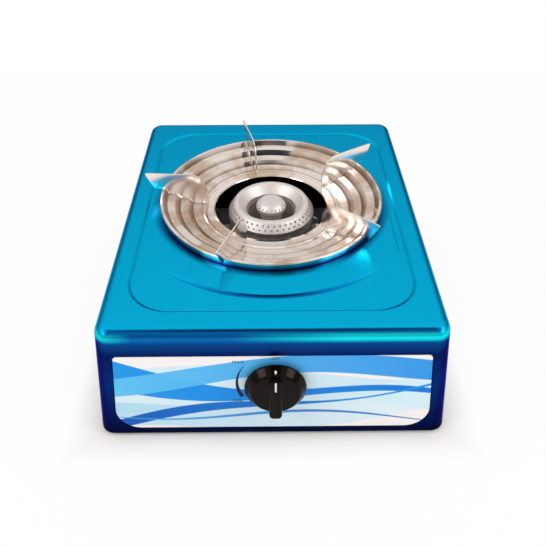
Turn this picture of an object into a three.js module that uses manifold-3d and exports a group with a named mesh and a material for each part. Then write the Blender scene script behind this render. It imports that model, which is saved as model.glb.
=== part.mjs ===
// A single burner gas stove: a drawn steel housing on rubber feet, a polished drip pan with five pot
// blades, a two ring burner with lift-off caps, and a push-and-turn gas valve with its igniter.
// Millimetres, +Z up. The knob faces -Y and the gas comes in at the back, +Y.
import * as THREE from 'three';
import Module from 'manifold-3d';
import { mergeVertices, mergeGeometries } from 'three/addons/utils/BufferGeometryUtils.js';

const wasm = await Module();
wasm.setup();

// Driving sizes of the whole stove
const bodyWidth = 290;          // across the housing's lower edge
const bodyDepth = 350;          // front to back at the lower edge
const bodyHeight = 110;         // the sheet housing alone
const taper = 10;               // each wall leans in by this over the height
const footRise = 4;             // rubber that shows under the housing
const sheet = 1;                // housing sheet
const fit = 0.3;                // clearance between pieces that touch
const overrun = 2;              // how far a cut runs past a face
const knobHeight = 60;          // knob axis above the table
const knobOffset = 2;           // knob axis right of the middle
const burnerOffset = 10;        // burner centre behind the middle
const panSides = 32;            // facets of the drip pan and the well it covers
const roundSides = 28;          // facets of the burner's rings and the knob
const midSides = 16;            // facets of the tubes and the valve
const smallSides = 10;          // facets of small round pieces

const baseZ = footRise;
const topZ = baseZ + bodyHeight;
const lean = Math.atan2(taper, bodyHeight);
const leanInset = (z) => taper * (z - baseZ) / bodyHeight;
const frontFace = (z) => -(bodyDepth / 2 - leanInset(z));
const quarter = Math.PI / 2;
const half = Math.PI;

const finishes = {
  lacquer: { color: 0x0a93c4, roughness: 0.18, metalness: 0.85 },
  print: { color: 0xe6eef4, roughness: 0.35, metalness: 0.0 },
  steel: { color: 0xd8d2cc, roughness: 0.15, metalness: 1.0 },
  zinc: { color: 0xa9adb0, roughness: 0.45, metalness: 0.9 },
  iron: { color: 0x3a3a3c, roughness: 0.85, metalness: 0.4 },
  aluminium: { color: 0xd9d6d4, roughness: 0.4, metalness: 0.9 },
  brass: { color: 0xb8923f, roughness: 0.35, metalness: 0.95 },
  knobPlastic: { color: 0x101012, roughness: 0.2, metalness: 0.0 },
  blackPlastic: { color: 0x1c1c1e, roughness: 0.5, metalness: 0.0 },
  rubber: { color: 0x161616, roughness: 0.9, metalness: 0.0 },
  ceramic: { color: 0xf2efe8, roughness: 0.3, metalness: 0.0 },
  silicone: { color: 0x8c2f22, roughness: 0.6, metalness: 0.0 },
};

const stove = new THREE.Group();

function addPiece(name, geometry, finish, parent = stove) {
  const mesh = new THREE.Mesh(geometry, new THREE.MeshStandardMaterial(finishes[finish]));
  mesh.name = name;
  parent.add(mesh);
  return mesh;
}

// Drops the triangles that vanish where a profile meets its axis, and turns the faces outward
function closed(geometry) {
  const bare = geometry.clone();
  bare.deleteAttribute('normal');
  bare.deleteAttribute('uv');
  const merged = mergeVertices(bare);
  const p = merged.attributes.position;
  const corners = merged.index.array;
  const kept = [];
  let volume = 0;
  const [a, b, c] = [new THREE.Vector3(), new THREE.Vector3(), new THREE.Vector3()];
  for (let i = 0; i < corners.length; i += 3) {
    const [u, v, w] = [corners[i], corners[i + 1], corners[i + 2]];
    if (u === v || v === w || w === u) continue;
    kept.push([u, v, w]);
    a.fromBufferAttribute(p, u);
    b.fromBufferAttribute(p, v);
    c.fromBufferAttribute(p, w);
    volume += a.dot(b.cross(c));
  }
  const order = volume < 0 ? kept.map(([u, v, w]) => [u, w, v]) : kept;
  const result = new THREE.BufferGeometry();
  result.setAttribute('position', p);
  result.setIndex(order.flat());
  return result;
}

function solid(geometry) {
  const clean = closed(geometry);
  return new wasm.Manifold(new wasm.Mesh({
    numProp: 3,
    vertProperties: new Float32Array(clean.attributes.position.array),
    triVerts: new Uint32Array(clean.index.array),
  }));
}

function geometryOf(body) {
  const mesh = body.getMesh();
  const geometry = new THREE.BufferGeometry();
  geometry.setAttribute('position', new THREE.BufferAttribute(mesh.vertProperties, 3));
  geometry.setIndex(new THREE.BufferAttribute(mesh.triVerts, 1));
  geometry.computeVertexNormals();
  return geometry;
}

// A revolved piece: the outline is [radius, height] pairs, turned about Z
function turned(outline, sides = roundSides) {
  const onAxis = outline[0][0] === 0 && outline[outline.length - 1][0] === 0;
  const points = (onAxis ? outline : [...outline, outline[0]]).map(([r, z]) => new THREE.Vector2(r, z));
  return closed(new THREE.LatheGeometry(points, sides).rotateX(quarter));
}

function rod(radius, low, high, sides = smallSides) {
  return turned([[0, low], [radius, low], [radius, high], [0, high]], sides);
}

// A plate or block: the shape lies in XY and rises from low to high
function raised(shape, low, high, curveSegments = 4) {
  const settings = { depth: high - low, bevelEnabled: false, curveSegments };
  return new THREE.ExtrudeGeometry(shape, settings).translate(0, 0, low);
}

function roundedRect(width, depth, corner, x = 0, y = 0) {
  const [w, d, r] = [width / 2, depth / 2, corner];
  const shape = new THREE.Shape();
  shape.moveTo(x - w + r, y - d);
  shape.lineTo(x + w - r, y - d);
  shape.absarc(x + w - r, y - d + r, r, -quarter, 0);
  shape.lineTo(x + w, y + d - r);
  shape.absarc(x + w - r, y + d - r, r, 0, quarter);
  shape.lineTo(x - w + r, y + d);
  shape.absarc(x - w + r, y + d - r, r, quarter, half);
  shape.lineTo(x - w, y - d + r);
  shape.absarc(x - w + r, y - d + r, r, half, half + quarter);
  return shape;
}

function hexagon(acrossFlats) {
  const corner = acrossFlats / Math.sqrt(3);
  const points = [0, 1, 2, 3, 4, 5].map((k) => {
    const angle = k * half / 3;
    return new THREE.Vector2(corner * Math.cos(angle), corner * Math.sin(angle));
  });
  return new THREE.Shape(points);
}

// Rounded rectangles stacked upward and joined into one closed body
function stacked(rings, cornerSteps = 4) {
  const points = [];
  for (const { z, halfWidth, halfDepth, corner, y = 0 } of rings) {
    const centres = [[1, 1, 0], [-1, 1, 1], [-1, -1, 2], [1, -1, 3]];
    for (const [sx, sy, turn] of centres) {
      for (let k = 0; k <= cornerSteps; k += 1) {
        const angle = quarter * (turn + k / cornerSteps);
        points.push(sx * (halfWidth - corner) + corner * Math.cos(angle));
        points.push(y + sy * (halfDepth - corner) + corner * Math.sin(angle), z);
      }
    }
  }
  const count = 4 * (cornerSteps + 1);
  const faces = [];
  for (let ring = 0; ring + 1 < rings.length; ring += 1) {
    for (let k = 0; k < count; k += 1) {
      const a = ring * count + k;
      const b = ring * count + (k + 1) % count;
      faces.push(a, b, b + count, a, b + count, a + count);
    }
  }
  const last = (rings.length - 1) * count;
  for (let k = 1; k + 1 < count; k += 1) {
    faces.push(0, k + 1, k);
    faces.push(last, last + k, last + k + 1);
  }
  const geometry = new THREE.BufferGeometry();
  geometry.setAttribute('position', new THREE.Float32BufferAttribute(points, 3));
  geometry.setIndex(faces);
  return geometry;
}

// A bent strip of even thickness: the middle line runs in XY, from one end to the other
function strip(line, thickness) {
  const path = line.map(([x, y]) => new THREE.Vector2(x, y));
  const sideOf = (a, b) => {
    const along = b.clone().sub(a).normalize();
    return new THREE.Vector2(-along.y, along.x);
  };
  const offsets = path.map((point, k) => {
    const before = k > 0 ? sideOf(path[k - 1], point) : sideOf(point, path[k + 1]);
    const after = k + 1 < path.length ? sideOf(point, path[k + 1]) : before;
    const middle = before.clone().add(after).normalize();
    return middle.multiplyScalar(thickness / 2 / middle.dot(before));
  });
  const left = path.map((point, k) => point.clone().add(offsets[k]));
  const right = path.map((point, k) => point.clone().sub(offsets[k]));
  return new THREE.Shape([...right, ...left.reverse()]);
}

// The leaning front face: X runs across, Y up the face, Z straight out of it
const front = new THREE.Group();
front.position.set(knobOffset, frontFace(knobHeight), knobHeight);
front.rotation.x = quarter - lean;
front.updateMatrix();
stove.add(front);

// Body shell: one drawn sheet with leaning walls, a rolled top edge and an in-turned lower flange
const wallCorner = 13;
const topRoll = 8;
const rollSteps = 3;
const flangeWidth = 24;
const flangeCorner = 16;
const wellRadius = 95;
const wellLip = 9;
const dishHalfWidth = 117;
const dishFront = 143;
const dishBack = 139;
const dishCorner = 38;
const dishDepth = 1.6;
const dishSlope = 2.2;
const stepRadius = 137;         // arc of the pressed step round the pan
const stepRise = 1;
const stepMargin = 3;
const windowRimTop = 24;
const windowRimBottom = 5.5;
const windowRimSide = 14;
const windowCornerTop = 4;
const windowCornerBottom = 20;
const windowDepth = 1.5;
const panelSheet = 0.6;
const stemHole = 4.2;
const valveScrewSpread = 16;
const valveScrewShank = 1.8;
const valveScrewHead = 3.4;
const footInset = 15;           // feet and rail screws stand this far in from the lower edge
const footSpreadX = bodyWidth / 2 - footInset;
const footSpreadY = bodyDepth / 2 - footInset;
const footNeck = 3.6;
const railScrewX = bodyWidth / 2 - footInset;
const railScrewShank = 2;
const inletX = 85;
const inletHeight = 62;
const inletShank = 7;

const seatZ = topZ - dishDepth + stepRise;

function housingForm(inset) {
  const rings = [];
  const ringAt = (z, extra) => {
    const shrink = inset + leanInset(z) + extra;
    rings.push({
      z,
      halfWidth: bodyWidth / 2 - shrink,
      halfDepth: bodyDepth / 2 - shrink,
      corner: wallCorner - inset - extra,
    });
  };
  const roll = topRoll - inset;
  ringAt(baseZ + inset, 0);
  for (let k = 0; k <= rollSteps; k += 1) {
    const angle = quarter * k / rollSteps;
    ringAt(topZ - topRoll + roll * Math.sin(angle), roll * (1 - Math.cos(angle)));
  }
  return solid(stacked(rings));
}

// The pressed dish in the top, with the raised round step inside it
function dishForm(grow) {
  const middle = (dishBack - dishFront) / 2;
  const halfDepth = (dishBack + dishFront) / 2;
  const ring = (z, extra) => ({
    z, y: middle, halfWidth: dishHalfWidth + extra, halfDepth: halfDepth + extra, corner: dishCorner + extra,
  });
  const floor = topZ - dishDepth - grow;
  const mouth = topZ + overrun;
  const dish = solid(stacked([ring(floor, grow - dishSlope), ring(topZ - grow, grow), ring(mouth, grow)]));
  const stepTop = floor + stepRise;
  const step = solid(turned([
    [0, floor - overrun], [stepRadius - grow + dishSlope, floor - overrun],
    [stepRadius - grow + dishSlope, floor], [stepRadius - grow, stepTop], [0, stepTop],
  ], panSides).translate(0, burnerOffset, 0));
  const inner = grow - dishSlope - stepMargin;
  const stepSides = [ring(floor - overrun, inner), ring(floor, inner), ring(stepTop, inner - dishSlope / 2)];
  return dish.subtract(step.intersect(solid(stacked(stepSides))));
}

// The window outline on the front face, in the front group's own axes, grown or shrunk by an amount
function windowShape(grow) {
  const up = (z) => (z - knobHeight) / Math.cos(lean);
  const high = up(topZ - windowRimTop) + grow;
  const low = up(baseZ + windowRimBottom) - grow;
  const sideAt = (v) => bodyWidth / 2 - leanInset(knobHeight + v * Math.cos(lean)) - windowRimSide + grow;
  const [rt, rb] = [windowCornerTop + grow, windowCornerBottom + grow];
  const shape = new THREE.Shape();
  const x = (side, v) => side * sideAt(v) - knobOffset;
  shape.moveTo(x(-1, low) + rb, low);
  shape.lineTo(x(1, low) - rb, low);
  shape.quadraticCurveTo(x(1, low), low, x(1, low + rb), low + rb);
  shape.lineTo(x(1, high - rt), high - rt);
  shape.quadraticCurveTo(x(1, high), high, x(1, high) - rt, high);
  shape.lineTo(x(-1, high) + rt, high);
  shape.quadraticCurveTo(x(-1, high), high, x(-1, high - rt), high - rt);
  shape.lineTo(x(-1, low + rb), low + rb);
  shape.quadraticCurveTo(x(-1, low), low, x(-1, low) + rb, low);
  return shape;
}

const onFront = (geometry) => geometry.applyMatrix4(front.matrix);

// The back face's own axes: X across, Z straight out
const back = new THREE.Group();
back.position.set(inletX, -frontFace(inletHeight), inletHeight);
back.rotation.x = lean - quarter;
back.updateMatrix();
stove.add(back);

function makeBodyShell() {
  const pressedIn = windowDepth + sheet;
  const recess = solid(onFront(raised(windowShape(0), -windowDepth, overrun)));
  const recessWall = solid(onFront(raised(windowShape(sheet), -pressedIn, overrun)));
  const cavity = housingForm(sheet).subtract(dishForm(sheet)).subtract(recessWall);
  let shell = housingForm(0).subtract(dishForm(0)).subtract(recess).subtract(cavity);
  const openWidth = bodyWidth - 2 * flangeWidth;
  const openDepth = bodyDepth - 2 * flangeWidth;
  shell = shell.subtract(solid(raised(roundedRect(openWidth, openDepth, flangeCorner), 0, baseZ + overrun)));
  const well = rod(wellRadius, seatZ - wellLip, topZ + overrun, panSides).translate(0, burnerOffset, 0);
  shell = shell.subtract(solid(well));
  const lip = turned([
    [wellRadius, seatZ - wellLip], [wellRadius + sheet, seatZ - wellLip],
    [wellRadius + sheet, seatZ - sheet / 2], [wellRadius, seatZ - sheet / 2],
  ], panSides).translate(0, burnerOffset, 0);
  shell = shell.add(solid(lip));
  const deep = pressedIn + overrun;
  shell = shell.subtract(solid(onFront(rod(stemHole, -deep, overrun))));
  for (const side of [-1, 1]) {
    const screwHole = rod(valveScrewShank + fit, -deep, overrun);
    shell = shell.subtract(solid(onFront(screwHole.translate(side * valveScrewSpread, 0, 0))));
    const railHole = rod(railScrewShank + fit, 0, baseZ + sheet + overrun);
    shell = shell.subtract(solid(railHole.translate(side * railScrewX, burnerOffset, 0)));
    for (const end of [-1, 1]) {
      const footHole = rod(footNeck + fit, 0, baseZ + sheet + overrun);
      shell = shell.subtract(solid(footHole.translate(side * footSpreadX, end * footSpreadY, 0)));
    }
  }
  const inletHole = rod(inletShank + fit, -sheet - overrun, overrun).applyMatrix4(back.matrix);
  return geometryOf(shell.subtract(solid(inletHole)));
}
addPiece('body_shell', makeBodyShell(), 'lacquer');

// Control panel: a thin printed plate that lies in the pressed window
function makeControlPanel() {
  const low = fit - windowDepth;
  const plate = raised(windowShape(-fit), low, low + panelSheet);
  let panel = solid(plate).subtract(solid(rod(stemHole, low - overrun, overrun)));
  for (const side of [-1, 1]) {
    const hole = rod(valveScrewShank + fit, low - overrun, overrun).translate(side * valveScrewSpread, 0, 0);
    panel = panel.subtract(solid(hole));
  }
  return geometryOf(panel);
}
const panelFace = fit - windowDepth + panelSheet;
addPiece('control_panel', makeControlPanel(), 'print', front);

// Rubber feet: a tapered pad, a neck through the flange and a button head that snaps over it
const footRadius = 9;
const footTopRadius = 8;
const footHead = 5.2;
const footHeadHeight = 3.4;
const footHollow = 3;
const footHollowDepth = 2;
for (const [endName, end] of [['front', -1], ['back', 1]]) {
  for (const [sideName, side] of [['left', -1], ['right', 1]]) {
    const under = baseZ - fit;
    const over = baseZ + sheet + fit;
    const foot = turned([
      [0, footHollowDepth], [footHollow, footHollowDepth], [footHollow, 0], [footRadius, 0],
      [footTopRadius, under], [footNeck, under], [footNeck, over], [footHead, over],
      [footNeck, over + footHeadHeight], [0, over + footHeadHeight],
    ], smallSides);
    const piece = addPiece(`foot_${endName}_${sideName}`, foot, 'rubber');
    piece.position.set(side * footSpreadX, end * footSpreadY, 0);
  }
}

// Burner heights, from the cup's rim
const cupBelowTop = 14.3;       // the rim stands this far under the housing's top
const cupRimZ = topZ - cupBelowTop;
const cupDepth = 27;
const cupRadius = 40.5;
const cupWall = 3;
const funnelRadius = 23;        // bare air passage inside the outer ring
const cupFloorZ = cupRimZ - cupDepth;
const lugReach = 58;
const lugWidth = 15;
const lugHeight = 5;
const lugScrewX = 52;
const lugScrewShank = 2;

// Burner rail: one bent strap from flange to flange, with a shelf under each lug of the burner
const railSheet = 2;
const railWidth = 26;
const railFootOut = 9;          // the foot's ends, outward and inward from its screw
const railFootIn = 12;
const railShelfOut = 61;
const railShelfIn = 47;
const railCrossZ = 34;

const railFootZ = baseZ + sheet + fit + railSheet / 2;
const railShelfZ = cupFloorZ - fit - railSheet / 2;
const railSlope = (railShelfZ - railFootZ) / (railScrewX - railFootIn - railShelfOut);
const railHeightAt = (x) => railFootZ + (railScrewX - railFootIn - x) * railSlope;
function makeRail() {
  const rightHalf = [
    [railShelfIn, railCrossZ], [railShelfIn, railShelfZ], [railShelfOut, railShelfZ],
    [railScrewX - railFootIn, railFootZ], [railScrewX + railFootOut, railFootZ],
  ];
  const leftHalf = rightHalf.map(([x, z]) => [-x, z]).reverse();
  const outline = strip([...leftHalf, ...rightHalf], railSheet);
  const strap = raised(outline, -railWidth / 2, railWidth / 2).rotateX(quarter).translate(0, burnerOffset, 0);
  let rail = solid(strap);
  for (const side of [-1, 1]) {
    const footHole = rod(railScrewShank + fit, railFootZ - railSheet, railFootZ + railSheet);
    rail = rail.subtract(solid(footHole.translate(side * railScrewX, burnerOffset, 0)));
    const shelfHole = rod(lugScrewShank + fit, railShelfZ - railSheet, railShelfZ + railSheet);
    rail = rail.subtract(solid(shelfHole.translate(side * lugScrewX, burnerOffset, 0)));
  }
  return geometryOf(rail);
}
addPiece('burner_rail', makeRail(), 'zinc');

// A pan head screw, its head's seat at zero and its shank pointing down
function makeScrew(shank, head, crown, length) {
  const body = turned([
    [0, -length], [shank * 0.6, -length], [shank, -length + shank], [shank, 0], [head, 0],
    [head, crown / 2], [head * 0.7, crown], [0, crown],
  ], 8);
  const slot = new THREE.BoxGeometry(2 * head + overrun, head / 4, crown).translate(0, 0, crown);
  return geometryOf(solid(body).subtract(solid(slot)));
}
const railScrewHead = 3.8;
const railScrewHeight = 2.6;
for (const [sideName, side] of [['left', -1], ['right', 1]]) {
  const seat = railFootZ + railSheet / 2 + fit;
  const length = seat - baseZ + footRise / 2;
  const screw = makeScrew(railScrewShank, railScrewHead, railScrewHeight, length);
  addPiece(`rail_screw_${sideName}`, screw, 'zinc').position.set(side * railScrewX, burnerOffset, seat);
}

// Gas valve, along the knob's axis behind the front face. Depths are measured inward.
const bonnetSheet = 3;
const bonnetWidth = 46;
const bonnetDepth = 26;
const bonnetCorner = 6;
const valveRadius = 13;
const valveLength = 38;
const valveEarDepth = 6;
const chamberRadius = 9.5;      // front chamber that holds the spring
const plugFront = 20;
const plugLength = 20;
const plugWide = 8.6;
const plugNarrow = 6.6;
const plugPort = 2.4;
const slotWidth = 2.2;          // the drive slot across the plug's front end
const slotHeight = 6;
const slotDepth = 10;
const inletBossRadius = 7.5;
const inletBossReach = 24;
const pipeRadius = 4;
const pipeInsert = 8;
const noseRadius = 6.5;         // rear boss that takes the injector
const noseLength = 6;
const injectorShank = 3;
const injectorHex = 9;
const injectorHexLength = 5;
const injectorNose = 9;
const injectorTip = 1.6;
const injectorBore = 0.8;
const pressTravel = 3;

const bonnetFront = windowDepth + sheet + fit;
const valveFront = bonnetFront + bonnetSheet + fit;
const valveBack = valveFront + valveLength;
const noseBack = valveBack + noseLength;
const injectorSeat = noseBack + fit;
const injectorEnd = injectorSeat + injectorHexLength + injectorNose;
const portDepth = plugFront + plugLength / 2;

function makeBonnet() {
  const plate = roundedRect(bonnetWidth, bonnetDepth, bonnetCorner);
  let bonnet = solid(raised(plate, -bonnetFront - bonnetSheet, -bonnetFront));
  bonnet = bonnet.subtract(solid(rod(stemHole - fit, -valveFront - overrun, 0)));
  for (const side of [-1, 1]) {
    const hole = rod(valveScrewShank + fit, -valveFront - overrun, 0);
    bonnet = bonnet.subtract(solid(hole.translate(side * valveScrewSpread, 0, 0)));
  }
  return geometryOf(bonnet);
}
addPiece('valve_bonnet', makeBonnet(), 'zinc', front);

function makeValveBody() {
  let body = solid(rod(valveRadius, -valveBack, -valveFront, midSides));
  const ears = roundedRect(bonnetWidth, 2 * valveScrewHead + bonnetSheet, bonnetSheet);
  body = body.add(solid(raised(ears, -valveFront - valveEarDepth, -valveFront)));
  const boss = rod(inletBossRadius, 0, inletBossReach).rotateY(quarter).translate(0, 0, -portDepth);
  body = body.add(solid(boss));
  body = body.add(solid(rod(noseRadius, -noseBack, -valveBack + overrun)));
  const plugEnd = plugFront + plugLength + fit;
  const bore = turned([
    [0, -plugEnd], [plugNarrow + fit, -plugEnd], [plugWide + fit, -plugFront],
    [chamberRadius, -plugFront], [chamberRadius, overrun - valveFront], [0, overrun - valveFront],
  ], midSides);
  body = body.subtract(solid(bore));
  const inlet = rod(pipeRadius + fit, 0, inletBossReach + overrun).rotateY(quarter);
  const inletCut = solid(inlet.translate(inletBossReach - pipeInsert, 0, -portDepth));
  body = body.subtract(inletCut);
  const gallery = rod(plugPort, 0, inletBossReach).rotateY(quarter).translate(0, 0, -portDepth);
  body = body.subtract(solid(gallery));
  body = body.subtract(solid(rod(injectorShank + fit, -noseBack - overrun, -plugEnd + overrun)));
  for (const side of [-1, 1]) {
    const hole = rod(valveScrewShank + fit, -valveFront - valveEarDepth - overrun, 0);
    body = body.subtract(solid(hole.translate(side * valveScrewSpread, 0, 0)));
  }
  return geometryOf(body);
}
addPiece('valve_body', makeValveBody(), 'aluminium', front);

// The tapered plug turns in the body: its side port meets the inlet when the knob is turned on
function makePlug() {
  const end = plugFront + plugLength;
  let plug = solid(turned([
    [0, -end], [plugNarrow, -end], [plugWide, -plugFront - fit], [0, -plugFront - fit],
  ], midSides));
  const drive = new THREE.BoxGeometry(slotWidth, slotHeight, 2 * slotDepth).translate(0, 0, -plugFront);
  plug = plug.subtract(solid(drive));
  const sidePort = rod(plugPort, 0, plugWide + overrun, 8).rotateX(quarter);
  plug = plug.subtract(solid(sidePort.translate(0, 0, -portDepth - plugPort)));
  plug = plug.subtract(solid(rod(plugPort, -end - overrun, -portDepth - plugPort, 8)));
  return geometryOf(plug);
}
addPiece('valve_plug', makePlug(), 'brass', front);

// Stem: the shaft in the knob, a collar held under the bonnet, and a flat tongue in the plug's slot
const stemRadius = 3;
const stemReach = 11;
const collarRadius = 6;
const collarLength = 2;
const tongueWidth = slotWidth - 2 * fit;
const collarFront = valveFront;
const collarBack = collarFront + collarLength;
const tongueEnd = plugFront + slotDepth - pressTravel - 2 * fit;
function makeStem() {
  const shaft = turned([
    [0, -collarBack], [collarRadius, -collarBack], [collarRadius, -collarFront], [stemRadius, -collarFront],
    [stemRadius, stemReach - stemRadius / 4], [stemRadius * 0.8, stemReach], [0, stemReach],
  ], midSides);
  const tongueHeight = slotHeight - 2 * fit;
  const tongueLength = tongueEnd - collarBack + overrun / 2;
  const tongue = new THREE.BoxGeometry(tongueWidth, tongueHeight, tongueLength)
    .translate(0, 0, -tongueEnd + tongueLength / 2);
  const flat = new THREE.BoxGeometry(2 * stemRadius, stemRadius, stemReach)
    .translate(0, stemRadius * 1.2, stemReach / 2 + pressTravel);
  return geometryOf(solid(shaft).subtract(solid(flat)).add(solid(tongue)));
}
addPiece('valve_stem', makeStem(), 'zinc', front);

// Return spring: one wound wire between the stem's collar and the plug
const springWire = 0.4;
const springRadius = 4.6;
const springTurns = 5;
const springSteps = 8;
class Coil extends THREE.Curve {
  constructor(radius, low, high, turns) {
    super();
    Object.assign(this, { radius, low, high, turns });
  }

  getPoint(t, target = new THREE.Vector3()) {
    const angle = 2 * half * this.turns * t;
    const height = this.low + (this.high - this.low) * t;
    return target.set(this.radius * Math.cos(angle), this.radius * Math.sin(angle), height);
  }
}

// The least clear distance between points of the wire that lie over half a turn apart
function leastGap(path, steps) {
  const points = path.getPoints(steps);
  let least = Infinity;
  points.forEach((point, k) => {
    for (const other of points.slice(k + springSteps / 2)) least = Math.min(least, point.distanceTo(other));
  });
  return least - 2 * springWire;
}
function makeSpring() {
  const low = -plugFront + springWire;
  const high = -collarBack - fit - springWire;
  const wire = new THREE.Shape([0, 1, 2, 3, 4].map((k) => {
    const angle = 2 * half * k / 5;
    return new THREE.Vector2(springWire * Math.cos(angle), springWire * Math.sin(angle));
  }));
  const path = new Coil(springRadius, low, high, springTurns);
  const steps = springSteps * springTurns;
  const spring = new THREE.ExtrudeGeometry(wire, { steps, extrudePath: path, bevelEnabled: false });
  console.log(`least gap between the spring's turns: ${leastGap(path, steps).toFixed(2)} mm`);
  return closed(spring);
}
addPiece('stem_spring', makeSpring(), 'steel', front);

const valveScrewHeight = 1.8;
const screwShort = 1;           // a screw's point stops this far inside its hole
for (const [sideName, side] of [['left', -1], ['right', 1]]) {
  const length = panelFace + fit + valveFront + valveEarDepth - screwShort;
  const screw = makeScrew(valveScrewShank, valveScrewHead, valveScrewHeight, length);
  const piece = addPiece(`valve_screw_${sideName}`, screw, 'zinc', front);
  piece.position.set(side * valveScrewSpread, 0, panelFace + fit);
}

// Injector: a drilled brass jet screwed into the valve's rear boss
function makeInjector() {
  const hexEnd = injectorSeat + injectorHexLength;
  let jet = solid(raised(hexagon(injectorHex), -hexEnd, -injectorSeat));
  jet = jet.add(solid(rod(injectorShank, -injectorSeat - overrun / 2, -injectorSeat + noseLength)));
  jet = jet.add(solid(turned([
    [0, -injectorEnd], [injectorTip, -injectorEnd], [injectorShank, -hexEnd - injectorNose / 2],
    [injectorShank, -hexEnd + overrun / 2], [0, -hexEnd + overrun / 2],
  ], smallSides)));
  return geometryOf(jet.subtract(solid(rod(injectorBore, -injectorEnd - overrun, 0, 6))));
}
addPiece('injector', makeInjector(), 'brass', front);

// Knob: a hollow moulded skirt with a hub for the stem and a proud grip bar
const knobRadius = 24.4;
const knobFaceRadius = 20.4;
const knobBase = 3;
const knobFace = 11.5;
const knobWall = 2;
const knobEdge = 1.6;
const knobHub = 6.5;
const gripWidth = 11;
const gripTop = 17.5;
const gripUp = 19.5;
const gripDown = 21.5;
const gripCorner = 3.5;
const pointerWidth = 1.6;
const pointerDepth = 0.5;
function makeKnob() {
  const skirt = turned([
    [0, knobFace], [knobFaceRadius - knobEdge, knobFace], [knobFaceRadius, knobFace - knobEdge],
    [(knobRadius + knobFaceRadius) / 2, (knobBase + knobFace) / 2], [knobRadius, knobBase + knobEdge],
    [knobRadius, knobBase], [knobRadius - knobWall, knobBase],
    [knobFaceRadius - knobWall, knobFace - knobWall], [0, knobFace - knobWall],
  ]);
  const hub = rod(knobHub, knobBase, knobFace);
  const middle = (gripUp - gripDown) / 2;
  const bar = roundedRect(gripWidth, gripUp + gripDown, gripCorner, 0, middle);
  const bevel = gripWidth / 8;
  const settings = {
    depth: gripTop - knobFace,
    bevelThickness: bevel,
    bevelSize: bevel,
    bevelOffset: -bevel,
    bevelSegments: 2,
    curveSegments: 3,
  };
  const grip = new THREE.ExtrudeGeometry(bar, settings).translate(0, 0, knobFace - bevel);
  const bore = rod(stemRadius + fit, knobBase - overrun, stemReach + fit);
  const pointer = new THREE.BoxGeometry(pointerWidth, gripUp / 2, 2 * pointerDepth)
    .translate(0, gripUp - gripUp / 4 - gripCorner / 2, gripTop);
  const body = solid(skirt).add(solid(hub)).add(solid(grip));
  return geometryOf(body.subtract(solid(bore)).subtract(solid(pointer)));
}
addPiece('knob', makeKnob(), 'knobPlastic', front);

// Where the injector's tip lands behind the front: the mixing tube lines up with it
const jetTip = new THREE.Vector3(0, 0, -injectorEnd).applyMatrix4(front.matrix);

// Burner body: one casting with a ring trough, a middle stem, a bridge and the mixing tube
const stemBore = 7.4;
const stemOuter = 10.6;
const bridgeWidth = 12;
const bridgeHeight = 13;
const bridgeBore = 3.6;
const tubeMouth = 15.5;
const tubeThroat = 8.5;
const tubeBore = 10.5;
const tubeWall = 3;
const mouthOverlap = 5;         // the injector reaches this far into the mouth
const mouthPlate = 2;
const mouthBell = 20;
const hubRadius = 8;
const hubBore = 6.4;
const hubLip = 9.2;
const hubLipLength = 1;
const shutterSheet = 1.2;
const airSlotIn = 10.2;
const airSlotOut = 14;
const airSlotAngle = half / 3;
const riserY = burnerOffset - (funnelRadius + cupRadius) / 2;
const riserBore = 8;
const innerCapBelowTop = 2;
const innerCapTop = topZ - innerCapBelowTop;
const innerCapHeight = 10.5;
const stemTopZ = innerCapTop - innerCapHeight - fit;

const mouthY = jetTip.y - mouthOverlap;
const tubeZ = jetTip.z;

// Air slots of the mouth plate and the shutter, cut through from low to high
function airSlots(low, high) {
  const slots = [];
  for (const start of [-airSlotAngle / 2, half - airSlotAngle / 2]) {
    const slot = new THREE.Shape();
    slot.absarc(0, 0, airSlotOut, start, start + airSlotAngle, false);
    slot.absarc(0, 0, airSlotIn, start + airSlotAngle, start, true);
    slots.push(raised(slot, low, high, 3));
  }
  return solid(mergeGeometries(slots.map((slot) => closed(slot))));
}

// Pieces on the mixing tube are drawn along Z, then laid so that Z points to the front
const onTube = (geometry) => geometry.rotateX(quarter).translate(knobOffset, mouthY, tubeZ);

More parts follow.
